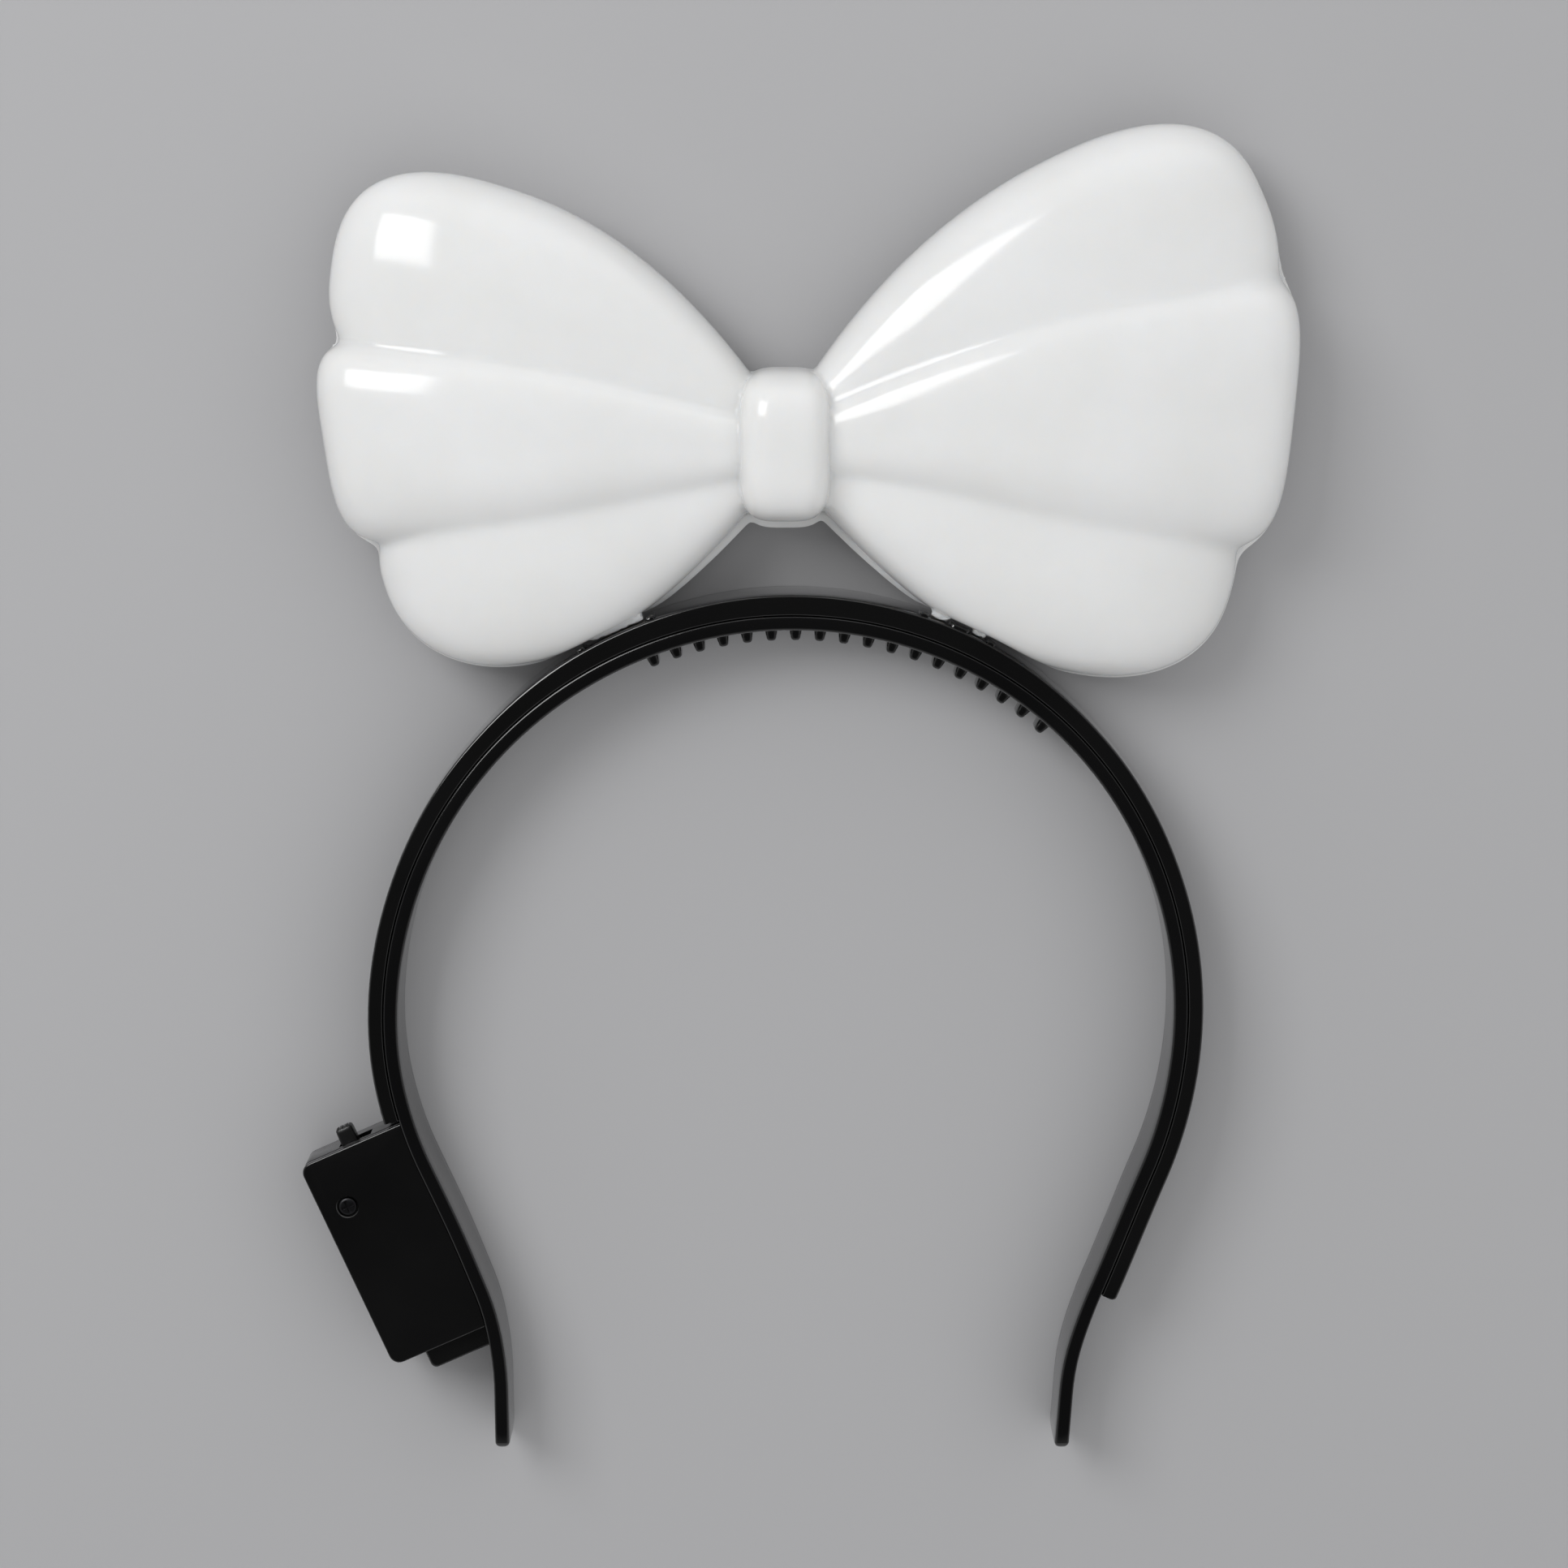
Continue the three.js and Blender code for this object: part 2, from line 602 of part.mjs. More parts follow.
function bowFrontShell() {
  const half = overBand(bowFront.intersect(slab(SEAM_Z, SEAM_Z + 40)), BOW_CLEAR);
  let solid = half.subtract(bowHollow);
  for (const foot of FEET) {
    const middle = (foot.from + foot.to) / 2;
    const low = coverTop(middle) + GAP;
    const wide = 2 * Math.sin(rad(foot.to - foot.from) / 2) * low;
    solid = solid.add(radialBlock(middle, wide, low, low + FOOT.tall, FOOT.back, FOOT.front));
  }
  return solid;
}

function bowBackShell() {
  const half = bowBack.intersect(slab(SEAM_Z - 40, SEAM_Z - GAP));
  const slipped = half.translate([BACK_SLIP.x, BACK_SLIP.y, 0]);
  return overBand(slipped, BOW_CLEAR).subtract(bowHollow);
}

const group = new THREE.Group();
group.name = 'light_up_bow_headband';
group.add(
  toMesh('headband', headband(), BLACK_SATIN),
  toMesh('band_cover', bandCover(), BLACK_GLOSS),
  toMesh('battery_case', batteryCase(), BLACK_SATIN),
  toMesh('battery_lid', batteryLid(), BLACK_SATIN),
  toMesh('lid_screw', lidScrew(), STEEL),
  toMesh('switch_knob', switchKnob(), BLACK_GLOSS),
  toMesh('bow_front_shell', bowFrontShell(), OPAL),
  toMesh('bow_back_shell', bowBackShell(), OPAL),
);

// The origin is the middle of the underside of the whole headband.
const box = new THREE.Box3().setFromObject(group);
for (const mesh of group.children) {
  mesh.geometry.translate(-(box.min.x + box.max.x) / 2, -(box.min.y + box.max.y) / 2, -box.min.z);
}

export default group;
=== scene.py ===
import json
import math

import bmesh
import bpy
import numpy as np
from mathutils import Matrix, Vector


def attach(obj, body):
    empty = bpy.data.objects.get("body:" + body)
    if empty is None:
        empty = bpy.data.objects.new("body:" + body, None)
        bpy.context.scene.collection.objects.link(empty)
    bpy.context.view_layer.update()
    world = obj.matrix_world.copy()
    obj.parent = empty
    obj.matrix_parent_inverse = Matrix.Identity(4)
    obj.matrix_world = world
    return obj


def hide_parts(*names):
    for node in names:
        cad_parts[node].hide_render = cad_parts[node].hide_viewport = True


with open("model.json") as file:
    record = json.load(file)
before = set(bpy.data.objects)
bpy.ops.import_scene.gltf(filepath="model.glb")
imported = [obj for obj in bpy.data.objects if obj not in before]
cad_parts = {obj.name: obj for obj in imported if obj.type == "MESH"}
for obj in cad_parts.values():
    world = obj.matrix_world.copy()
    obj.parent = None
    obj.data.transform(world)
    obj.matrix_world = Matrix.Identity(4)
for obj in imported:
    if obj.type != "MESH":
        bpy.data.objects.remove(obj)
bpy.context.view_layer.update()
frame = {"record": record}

# Camera.
# The headband lies on its back and is seen from above its front, from about 65 cm away, leaning a
# little over the bow, so that the outside of the arch shows at its top. Lengths are in millimetres
# from the middle of the head arch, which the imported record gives.
MM = 0.001
PHOTO_PIXELS = 1932
FOCAL_PIXELS = 4960
SENSOR_WIDE = 36.0
CAMERA_LEAN = math.radians(9.2)
CAMERA_PLACE = Vector((-0.1, 139.2, 635.9))
mounts = {mount["name"]: mount for mount in frame["record"]["mounts"]}
arch_middle = Vector(mounts["head_space"]["pos_m"])
camera_data = bpy.data.cameras.new("camera")
camera_data.sensor_fit = "HORIZONTAL"
camera_data.sensor_width = SENSOR_WIDE
camera_data.lens = SENSOR_WIDE * FOCAL_PIXELS / PHOTO_PIXELS
camera = bpy.data.objects.new("camera", camera_data)
camera.location = arch_middle + CAMERA_PLACE * MM
camera.rotation_euler = (-CAMERA_LEAN, 0, 0)
bpy.context.scene.collection.objects.link(camera)
bpy.context.scene.camera = camera

# Inner strip of the headband.
# A springy strip of black polystyrene that touches the head: a round arch, two straight legs that
# close in, and tips that turn out again. It is moulded in one with a row of comb teeth inside it.
HEAD_RADIUS = 62.0
LEG_LEAN = math.radians(24)
LEG_STRAIGHT = 22.0
FLARE_RADIUS = 44.0
TIP_STRAIGHT = 9.3
TIP_CORNER = 1.8
BAND_HALF_WIDE = 7.0
TIP_NARROWING = 0.5
NARROWING_START = 100.0
BAND_STEP = 2.0
STRIP_THICK = 2.3
STRIP_INNER_EDGE = 0.5
STRIP_OUTER_EDGE = 0.35
STRIP_CROWN = 0.1
EDGE_LIMIT = 0.45
CREASE_DEGREES = 35
SLIVER = 0.003
ARC_LENGTH = HEAD_RADIUS * (math.pi / 2 + LEG_LEAN)
FLARE_LENGTH = FLARE_RADIUS * LEG_LEAN
LEG_LENGTH = ARC_LENGTH + LEG_STRAIGHT + FLARE_LENGTH + TIP_STRAIGHT

# How far the band stands out of its round arch and straight legs, along it from the top.
spread_rows = [
    {"along": -173, "out": 0.9},
    {"along": -158, "out": 0.95},
    {"along": -146, "out": 0.4},
    {"along": -134, "out": -0.05},
    {"along": -116, "out": 0.05},
    {"along": -104, "out": 0.05},
    {"along": -80, "out": -0.55},
    {"along": -56, "out": -0.85},
    {"along": -28, "out": -0.8},
    {"along": 0, "out": -0.25},
    {"along": 28, "out": 0.25},
    {"along": 52, "out": 0.45},
    {"along": 76, "out": 0.3},
    {"along": 106, "out": 0.2},
    {"along": 124, "out": 0.55},
    {"along": 148, "out": 1.5},
    {"along": 160, "out": 0.9},
    {"along": 174, "out": -0.05},
]


def spread_at(along):
    """How far the band stands out at a distance along it, on a smooth curve through the rows."""
    last = len(spread_rows) - 1
    d = min(spread_rows[last]["along"], max(spread_rows[0]["along"], along))
    i = 0
    while i < last - 1 and d > spread_rows[i + 1]["along"]:
        i += 1
    slopes = []
    for k in (i, i + 1):
        a = spread_rows[max(0, k - 1)]
        b = spread_rows[min(last, k + 1)]
        slopes.append((b["out"] - a["out"]) / (b["along"] - a["along"]))
    low = spread_rows[i]
    high = spread_rows[i + 1]
    step = high["along"] - low["along"]
    t = (d - low["along"]) / step
    start = low["out"] * (1 + 2 * t) + slopes[0] * step * t
    end = high["out"] * (3 - 2 * t) - slopes[1] * step * (1 - t)
    return start * (1 - t) ** 2 + end * t ** 2


def smooth_share(value, low, high):
    """How far a value has come from low to high, from 0 to 1, with a soft start and end."""
    share = min(1.0, max(0.0, (value - low) / (high - low)))
    return share * share * (3 - 2 * share)


def band_frame(along):
    """Point on the head face and the outward direction there, at a distance from the top."""
    side = -1 if along < 0 else 1
    d = abs(along)
    leg_out = Vector((math.cos(LEG_LEAN), -math.sin(LEG_LEAN)))
    down_leg = Vector((-math.sin(LEG_LEAN), -math.cos(LEG_LEAN)))
    arc_end = leg_out * HEAD_RADIUS
    if d <= ARC_LENGTH:
        turn = d / HEAD_RADIUS
        out = Vector((math.sin(turn), math.cos(turn)))
        point = out * HEAD_RADIUS
    elif d <= ARC_LENGTH + LEG_STRAIGHT:
        out = leg_out
        point = arc_end + down_leg * (d - ARC_LENGTH)
    else:
        past = d - ARC_LENGTH - LEG_STRAIGHT
        turn = LEG_LEAN - min(past, FLARE_LENGTH) / FLARE_RADIUS
        out = Vector((math.cos(turn), -math.sin(turn)))
        point = arc_end + down_leg * LEG_STRAIGHT + (leg_out - out) * FLARE_RADIUS
        point.y -= max(0.0, past - FLARE_LENGTH)
    point = point + out * spread_at(along)
    return Vector((side * point.x, point.y)), Vector((side * out.x, out.y))


def band_half_width(along):
    """Half of the band's width, which narrows toward the tips and ends in round corners there."""
    narrowing = TIP_NARROWING * smooth_share(abs(along), NARROWING_START, LEG_LENGTH)
    past = max(0.0, abs(along) - LEG_LENGTH + TIP_CORNER) / TIP_CORNER
    corner = TIP_CORNER * (1 - math.sqrt(1 - past * past))
    return BAND_HALF_WIDE - narrowing - corner


def band_ring(along, inner, outer, inner_edge, outer_edge, inner_crown=0.0, outer_crown=0.0):
    """One section of the band between two offsets from the head face, with round edges.
    A face with a crown is fuller in the middle of its width by that much."""
    point, out = band_frame(along)
    half = band_half_width(along)
    widest_edge = (outer - inner) * EDGE_LIMIT
    near = min(inner_edge, widest_edge)
    far = min(outer_edge, widest_edge)
    section = []
    for corner_offset, corner_z, edge, start in (
        (outer - far, half - far, far, 0), (outer - far, far - half, far, 270),
        (inner + near, near - half, near, 180), (inner + near, half - near, near, 90),
    ):
        for turn in (90, 60, 30, 0):
            a = math.radians(start + turn)
            section.append((corner_offset + edge * math.cos(a), corner_z + edge * math.sin(a)))
        crown = {0: outer_crown, 180: -inner_crown}.get(start, 0)
        if crown:
            face = outer if start == 0 else inner
            for share in (0.6, 0.3, 0.0, -0.3, -0.6):
                z = half * share * (1 if start == 0 else -1)
                section.append((face + crown * (1 - share * share), z))
    ring = []
    for offset, z in section:
        place = point + out * offset
        ring.append((place.x, place.y, z))
    return ring


def oblong(half_a, half_b, power_a, power_b, count):
    """Points of an oblong about its middle, as pairs, squarer the lower the powers are."""
    pairs = []
    for j in range(count):
        turn = 2 * math.pi * j / count
        a = math.copysign(abs(math.cos(turn)) ** power_a, math.cos(turn)) * half_a
        b = math.copysign(abs(math.sin(turn)) ** power_b, math.sin(turn)) * half_b
        pairs.append((a, b))
    return pairs


def ring_mesh(rings):
    """Points and faces of a closed body through equal rings of points."""
    count = len(rings[0])
    points = [point for ring in rings for point in ring]
    faces = []
    for i in range(len(rings) - 1):
        for j in range(count):
            k = (j + 1) % count
            faces.append((i * count + j, i * count + k, (i + 1) * count + k, (i + 1) * count + j))
    faces.append(tuple(range(count))[::-1])
    faces.append(tuple((len(rings) - 1) * count + j for j in range(count)))
    return points, faces


def together(bodies):
    """Points and faces of several closed bodies in one mesh."""
    points = []
    faces = []
    for body_points, body_faces in bodies:
        start = len(points)
        points += body_points
        faces += [tuple(start + index for index in face) for face in body_faces]
    return points, faces


def smooth(piece, crease_degrees):
    """Shades a piece smooth, apart from the edges that turn more than the crease angle."""
    piece.data.polygons.foreach_set("use_smooth", [True] * len(piece.data.polygons))
    piece.data.set_sharp_from_angle(angle=math.radians(crease_degrees))


def new_piece(name, points, faces):
    """A piece from points in millimetres about the arch middle, with its faces pointing out."""
    mesh = bpy.data.meshes.new(name)
    mesh.from_pydata([arch_middle + Vector(p) * MM for p in points], [], faces)
    shape = bmesh.new()
    shape.from_mesh(mesh)
    bmesh.ops.recalc_face_normals(shape, faces=shape.faces)
    shape.to_mesh(mesh)
    shape.free()
    piece = bpy.data.objects.new(name, mesh)
    bpy.context.scene.collection.objects.link(piece)
    smooth(piece, CREASE_DEGREES)
    return piece


def settle_modifiers(piece, crease_degrees=CREASE_DEGREES):
    """Keeps the shape that the modifiers give, and takes the modifiers off."""
    graph = bpy.context.evaluated_depsgraph_get()
    mesh = bpy.data.meshes.new_from_object(piece.evaluated_get(graph))
    piece.modifiers.clear()
    piece.data = mesh
    smooth(piece, crease_degrees)


def join_or_cut(piece, tool, operation):
    """Joins a tool piece to a piece, or cuts it out, and removes the tool and any slivers."""
    cut = piece.modifiers.new("joint", "BOOLEAN")
    cut.operation = operation
    cut.solver = "EXACT"
    cut.object = tool
    settle_modifiers(piece)
    bpy.data.objects.remove(tool)
    shape = bmesh.new()
    shape.from_mesh(piece.data)
    bmesh.ops.remove_doubles(shape, verts=shape.verts, dist=SLIVER * MM)
    bmesh.ops.dissolve_degenerate(shape, edges=shape.edges, dist=SLIVER * MM)
    shape.to_mesh(piece.data)
    shape.free()


def station_list(start, end, spacing):
    """Equal stations from start to end, no further apart than the spacing."""
    steps = math.ceil((end - start) / spacing)
    return [start + (end - start) * i / steps for i in range(steps + 1)]


tip_round = STRIP_THICK / 2
tip_flat = LEG_LENGTH - tip_round
tip_shares = (0.2, 0.4, 0.6, 0.75, 0.88, 0.96, 0.995)
strip_stations = [-tip_flat - tip_round * share for share in reversed(tip_shares)]
strip_stations += station_list(-tip_flat, tip_flat, BAND_STEP)
strip_stations += [tip_flat + tip_round * share for share in tip_shares]
strip_rings = []
for along in strip_stations:
    past = max(0.0, abs(along) - tip_flat) / tip_round
    pinch = tip_round * (1 - math.sqrt(1 - past * past))
    strip_rings.append(band_ring(along, pinch, STRIP_THICK - pinch, STRIP_INNER_EDGE, STRIP_OUTER_EDGE,
                                 inner_crown=STRIP_CROWN * (1 - past)))
headband_strip = new_piece("headband_strip", *ring_mesh(strip_rings))

# The comb's teeth stand in toward the head, each a wide root, a short stem and a round end.
TOOTH_COUNT = 18
FIRST_TOOTH_DEGREES = -20.2
TOOTH_STEP_DEGREES = 3.64
tooth_levels = [
    {"height": -0.9, "half_across": 1.5, "half_deep": 3.3},
    {"height": -0.1, "half_across": 1.45, "half_deep": 3.3},
    {"height": 0.12, "half_across": 1.15, "half_deep": 3.12},
    {"height": 0.4, "half_across": 1.02, "half_deep": 3.0},
    {"height": 1.0, "half_across": 0.92, "half_deep": 2.95},
    {"height": 1.6, "half_across": 0.8, "half_deep": 2.9},
    {"height": 1.82, "half_across": 0.74, "half_deep": 2.84},
    {"height": 1.98, "half_across": 0.6, "half_deep": 2.7},
    {"height": 2.07, "half_across": 0.42, "half_deep": 2.5},
    {"height": 2.1, "half_across": 0.2, "half_deep": 2.25},
]
teeth = []
for number in range(TOOTH_COUNT):
    lean = math.radians(FIRST_TOOTH_DEGREES + TOOTH_STEP_DEGREES * number)
    root, out = band_frame(HEAD_RADIUS * lean)
    across = Vector((out.y, -out.x))
    rings = []
    for level in tooth_levels:
        outline = oblong(level["half_across"], level["half_deep"], power_a=0.5, power_b=0.3, count=24)
        ring = []
        for a, z in outline:
            place = root - out * level["height"] + across * a
            ring.append((place.x, place.y, z))
        rings.append(ring)
    teeth.append(ring_mesh(rings))
join_or_cut(headband_strip, new_piece("comb", *together(teeth)), "UNION")


def moulded_plastic(name, dark, light, keen, dull, grain, grain_depth, polish):
    """Moulded plastic: slight flow marks in its colour, a fine grain, uneven gloss and a polish."""
    material = bpy.data.materials.new(name)
    material.use_nodes = True
    nodes = material.node_tree.nodes
    links = material.node_tree.links
    surface = nodes["Principled BSDF"]
    place = nodes.new("ShaderNodeTexCoord")
    flow = nodes.new("ShaderNodeTexNoise")
    flow.inputs["Scale"].default_value = 45
    flow.inputs["Detail"].default_value = 3
    links.new(place.outputs["Object"], flow.inputs["Vector"])
    tint = nodes.new("ShaderNodeValToRGB")
    tint.color_ramp.elements[0].position = 0.35
    tint.color_ramp.elements[0].color = (*dark, 1)
    tint.color_ramp.elements[1].position = 0.65
    tint.color_ramp.elements[1].color = (*light, 1)
    links.new(flow.outputs["Fac"], tint.inputs["Fac"])
    links.new(tint.outputs["Color"], surface.inputs["Base Color"])
    gloss = nodes.new("ShaderNodeMapRange")
    gloss.inputs["To Min"].default_value = keen
    gloss.inputs["To Max"].default_value = dull
    links.new(flow.outputs["Fac"], gloss.inputs["Value"])
    links.new(gloss.outputs["Result"], surface.inputs["Roughness"])
    speckle = nodes.new("ShaderNodeTexNoise")
    speckle.inputs["Scale"].default_value = grain
    speckle.inputs["Detail"].default_value = 2
    links.new(place.outputs["Object"], speckle.inputs["Vector"])
    bump = nodes.new("ShaderNodeBump")
    bump.inputs["Strength"].default_value = 0.25
    bump.inputs["Distance"].default_value = grain_depth * MM
    links.new(speckle.outputs["Fac"], bump.inputs["Height"])
    links.new(bump.outputs["Normal"], surface.inputs["Normal"])
    surface.inputs["IOR"].default_value = 1.5
    surface.inputs["Coat Weight"].default_value = polish
    surface.inputs["Coat Roughness"].default_value = 0.06
    return material


def finish_in(piece, material):
    """Gives a piece one material, in place of any that its tools left on it."""
    piece.data.materials.clear()
    piece.data.materials.append(material)


band_black = moulded_plastic(
    "band_black", dark=(0.001, 0.001, 0.0012), light=(0.002, 0.002, 0.0022),
    keen=0.14, dull=0.22, grain=900, grain_depth=0.03, polish=0.5,
)
finish_in(headband_strip, band_black)
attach(headband_strip, "bow_headband")
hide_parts("headband")

# Outer wire cover of the headband.
# A second black moulding pressed over the strip, which hides the wires between the case and the bow.
# It is thickest at the top, ends in a step on one leg, and carries small clip tabs for the bow.
SEAT_GAP = 0.1
COVER_GAP = 0.3
COVER_BASE = STRIP_THICK + COVER_GAP
COVER_START = -114.4
COVER_END = 145.0
COVER_END_ROUND = 0.7
COVER_INNER_EDGE = 0.25
COVER_OUTER_EDGE = 0.4
COVER_CROWN = 0.15

# The cover's thickness is counted from its base, and its inside lies closer to the strip than that.
cover_rows = [
    {"along": 0, "thick": 3.0},
    {"along": 28, "thick": 2.85},
    {"along": 55, "thick": 2.4},
    {"along": 80, "thick": 2.15},
    {"along": 145, "thick": 2.15},
]


def cover_thickness(along):
    """Thickness of the cover over its base, at a distance along the band on either side."""
    d = abs(along)
    for low, high in zip(cover_rows, cover_rows[1:]):
        if d <= high["along"]:
            share = smooth_share(d, low["along"], high["along"])
            return low["thick"] + (high["thick"] - low["thick"]) * share
    return cover_rows[-1]["thick"]


def cover_top(lean):
    """Distance of the cover's outside from the middle of the arch, at an angle from the top."""
    along = HEAD_RADIUS * lean
    return HEAD_RADIUS + spread_at(along) + COVER_BASE + cover_thickness(along)


round_start = COVER_END - COVER_END_ROUND
round_shares = (0.3, 0.55, 0.75, 0.9, 0.98)
cover_stations = station_list(COVER_START, round_start, BAND_STEP)
cover_stations += [round_start + COVER_END_ROUND * share for share in round_shares]
cover_rings = []
for along in cover_stations:
    past = max(0.0, along - round_start) / COVER_END_ROUND
    top = cover_thickness(along) - COVER_END_ROUND * (1 - math.sqrt(1 - past * past))
    cover_rings.append(band_ring(along, STRIP_THICK + SEAT_GAP, COVER_BASE + top, COVER_INNER_EDGE,
                                 COVER_OUTER_EDGE, outer_crown=COVER_CROWN))
band_cover = new_piece("band_cover_moulding", *ring_mesh(cover_rings))

# The clip tabs stand on the cover's outside, on both sides of each foot of the bow.
TAB_MIDDLE_Z = 3.6
TAB_HALF_DEEP = 3.1
tab_rows = [
    {"degrees": -28.7, "wide": 1.5},
    {"degrees": -18.4, "wide": 1.5},
    {"degrees": 18.9, "wide": 1.6},
    {"degrees": 24.0, "wide": 3.4},
    {"degrees": 28.6, "wide": 1.6},
]
tab_levels = [
    {"height": -0.9, "inset": 0.0},
    {"height": 0.35, "inset": 0.0},
    {"height": 0.48, "inset": 0.08},
    {"height": 0.55, "inset": 0.22},
]
tabs = []
for row in tab_rows:
    lean = math.radians(row["degrees"])
    out = Vector((math.sin(lean), math.cos(lean), 0))
    across = Vector((math.cos(lean), -math.sin(lean), 0))
    rings = []
    for level in tab_levels:
        half_across = row["wide"] / 2 - level["inset"]
        half_deep = TAB_HALF_DEEP - level["inset"]
        ring = []
        for a, z in oblong(half_across, half_deep, power_a=0.4, power_b=0.3, count=20):
            place = out * (cover_top(lean) + level["height"]) + across * a
            ring.append((place.x, place.y, TAB_MIDDLE_Z + z))
        rings.append(ring)
    tabs.append(ring_mesh(rings))
join_or_cut(band_cover, new_piece("clip_tabs", *together(tabs)), "UNION")
cover_black = moulded_plastic(
    "cover_black", dark=(0.001, 0.001, 0.001), light=(0.002, 0.002, 0.0021),
    keen=0.10, dull=0.16, grain=700, grain_depth=0.02, polish=0.9,
)
finish_in(band_cover, cover_black)
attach(band_cover, "bow_headband")
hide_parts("band_cover")

# Battery case on the left leg.
# A shallow black box for button cells, moulded with a heel that hooks on the leg, a slot for the
# switch at its upper end, and a post for the lid's screw. It lies along the straight of the leg.
# In the case's own frame x runs toward the head, y up along the leg and z to the front.
CASE_TOP = 8.6
CASE_BOTTOM = -27.6
CASE_WIDE = 19.4
CASE_NEAR = 2.0
CASE_FAR = CASE_NEAR - CASE_WIDE
CASE_BACK = -3.0
CASE_FRONT = 6.4
CASE_CORNER = 1.7
CASE_WALL = 1.5
LEG_SIDE_WALL = 4.9
LID_THICK = 1.2
LID_GAP = 0.3
TRAY_FRONT = CASE_FRONT - LID_THICK - LID_GAP
TRAY_EASE = 0.5
HEEL_X = (-12.2, -0.2)
HEEL_Y = (CASE_BOTTOM - 3.6, CASE_BOTTOM + 5.4)
HEEL_Z = (-2.4, 4.4)
HEEL_CORNER = 1.0
HEEL_EASE = 0.4
HOLLOW_CORNER = 1.0
SLOT_X = (-10.6, -5.0)
SLOT_Z = (0.5, 3.9)
SLOT_CORNER = 0.3
SCREW_X = -13.0
SCREW_Y = -0.4
POST_RADIUS = 2.4
POST_FOOT = CASE_BACK + 0.5
BORE_RADIUS = 1.1
BORE_FLOOR = CASE_BACK + 2.5
LEG_BESIDE_CASE = (-168, -106)
SHARP_EASE = 0.05
CUT_PAST = 1.0
case_corner, case_out = band_frame(-ARC_LENGTH)
case_seat = case_corner + case_out * STRIP_THICK
case_turn = Matrix.Translation((case_seat.x, case_seat.y, 0)) @ Matrix.Rotation(LEG_LEAN, 4, "Z")


def case_plate(name, x, y, z, corner, ease):
    """A plate between two values of x, y and z, with round corners and eased front and back edges."""
    outline = []
    for corner_x, corner_y, start in (
        (x[1] - corner, y[1] - corner, 0), (x[0] + corner, y[1] - corner, 90),
        (x[0] + corner, y[0] + corner, 180), (x[1] - corner, y[0] + corner, 270),
    ):
        for turn in range(0, 91, 15):
            a = math.radians(start + turn)
            outline.append((corner_x + corner * math.cos(a), corner_y + corner * math.sin(a)))
    middle = Vector(((x[0] + x[1]) / 2, (y[0] + y[1]) / 2))
    half = Vector(((x[1] - x[0]) / 2, (y[1] - y[0]) / 2))
    eased = []
    for turn in (0, 30, 60, 90):
        a = math.radians(turn)
        eased.append((ease * (1 - math.sin(a)), ease * (1 - math.cos(a))))
    levels = [(z[0] + rise, inset) for rise, inset in reversed(eased)]
    levels += [(z[1] - fall, inset) for fall, inset in eased]
    rings = []
    for level, inset in levels:
        ring = []
        for edge_x, edge_y in outline:
            px = middle.x + (edge_x - middle.x) * (half.x - inset) / half.x
            py = middle.y + (edge_y - middle.y) * (half.y - inset) / half.y
            ring.append(tuple(case_turn @ Vector((px, py, level))))
        rings.append(ring)
    return new_piece(name, *ring_mesh(rings))


def screw_turning(name, profile):
    """A round body about the screw's middle from rows of radius and level."""
    rings = []
    for radius, level in profile:
        ring = []
        for x, y in oblong(radius, radius, power_a=1, power_b=1, count=32):
            ring.append(tuple(case_turn @ Vector((SCREW_X + x, SCREW_Y + y, level))))
        rings.append(ring)
    return new_piece(name, *ring_mesh(rings))


def leg_room():
    """What is cut from the case's side, so that it follows the leg with a small gap."""
    inside = -3 * CUT_PAST
    outside = STRIP_THICK + SEAT_GAP
    half = BAND_HALF_WIDE + 2 * CUT_PAST
    rings = []
    for along in station_list(*LEG_BESIDE_CASE, BAND_STEP):
        point, out = band_frame(along)
        ring = []
        for offset, z in ((inside, -half), (outside, -half), (outside, half), (inside, half)):
            place = point + out * offset
            ring.append((place.x, place.y, z))
        rings.append(ring)
    return new_piece("leg_room", *ring_mesh(rings))


battery_tray = case_plate(
    "battery_tray", x=(CASE_FAR, CASE_NEAR), y=(CASE_BOTTOM, CASE_TOP), z=(CASE_BACK, TRAY_FRONT),
    corner=CASE_CORNER, ease=TRAY_EASE,
)
heel = case_plate("heel", x=HEEL_X, y=HEEL_Y, z=HEEL_Z, corner=HEEL_CORNER, ease=HEEL_EASE)
join_or_cut(battery_tray, heel, "UNION")
hollow = case_plate(
    "hollow", x=(CASE_FAR + CASE_WALL, CASE_NEAR - LEG_SIDE_WALL),
    y=(CASE_BOTTOM + CASE_WALL, CASE_TOP - CASE_WALL),
    z=(CASE_BACK + CASE_WALL, TRAY_FRONT + 5 * CUT_PAST), corner=HOLLOW_CORNER, ease=SHARP_EASE,
)
join_or_cut(battery_tray, hollow, "DIFFERENCE")
switch_slot = case_plate(
    "switch_slot", x=SLOT_X, y=(CASE_TOP - 2 * CASE_WALL, CASE_TOP + CUT_PAST), z=SLOT_Z,
    corner=SLOT_CORNER, ease=SHARP_EASE,
)
join_or_cut(battery_tray, switch_slot, "DIFFERENCE")
screw_post = screw_turning("screw_post", [
    (POST_RADIUS, POST_FOOT),
    (POST_RADIUS, TRAY_FRONT),
])
join_or_cut(battery_tray, screw_post, "UNION")
post_bore = screw_turning("post_bore", [
    (BORE_RADIUS, BORE_FLOOR),
    (BORE_RADIUS, TRAY_FRONT + CUT_PAST),
])
join_or_cut(battery_tray, post_bore, "DIFFERENCE")
join_or_cut(battery_tray, leg_room(), "DIFFERENCE")
case_black = moulded_plastic(
    "case_black", dark=(0.001, 0.001, 0.0011), light=(0.002, 0.002, 0.0021),
    keen=0.20, dull=0.30, grain=1400, grain_depth=0.05, polish=0.5,
)
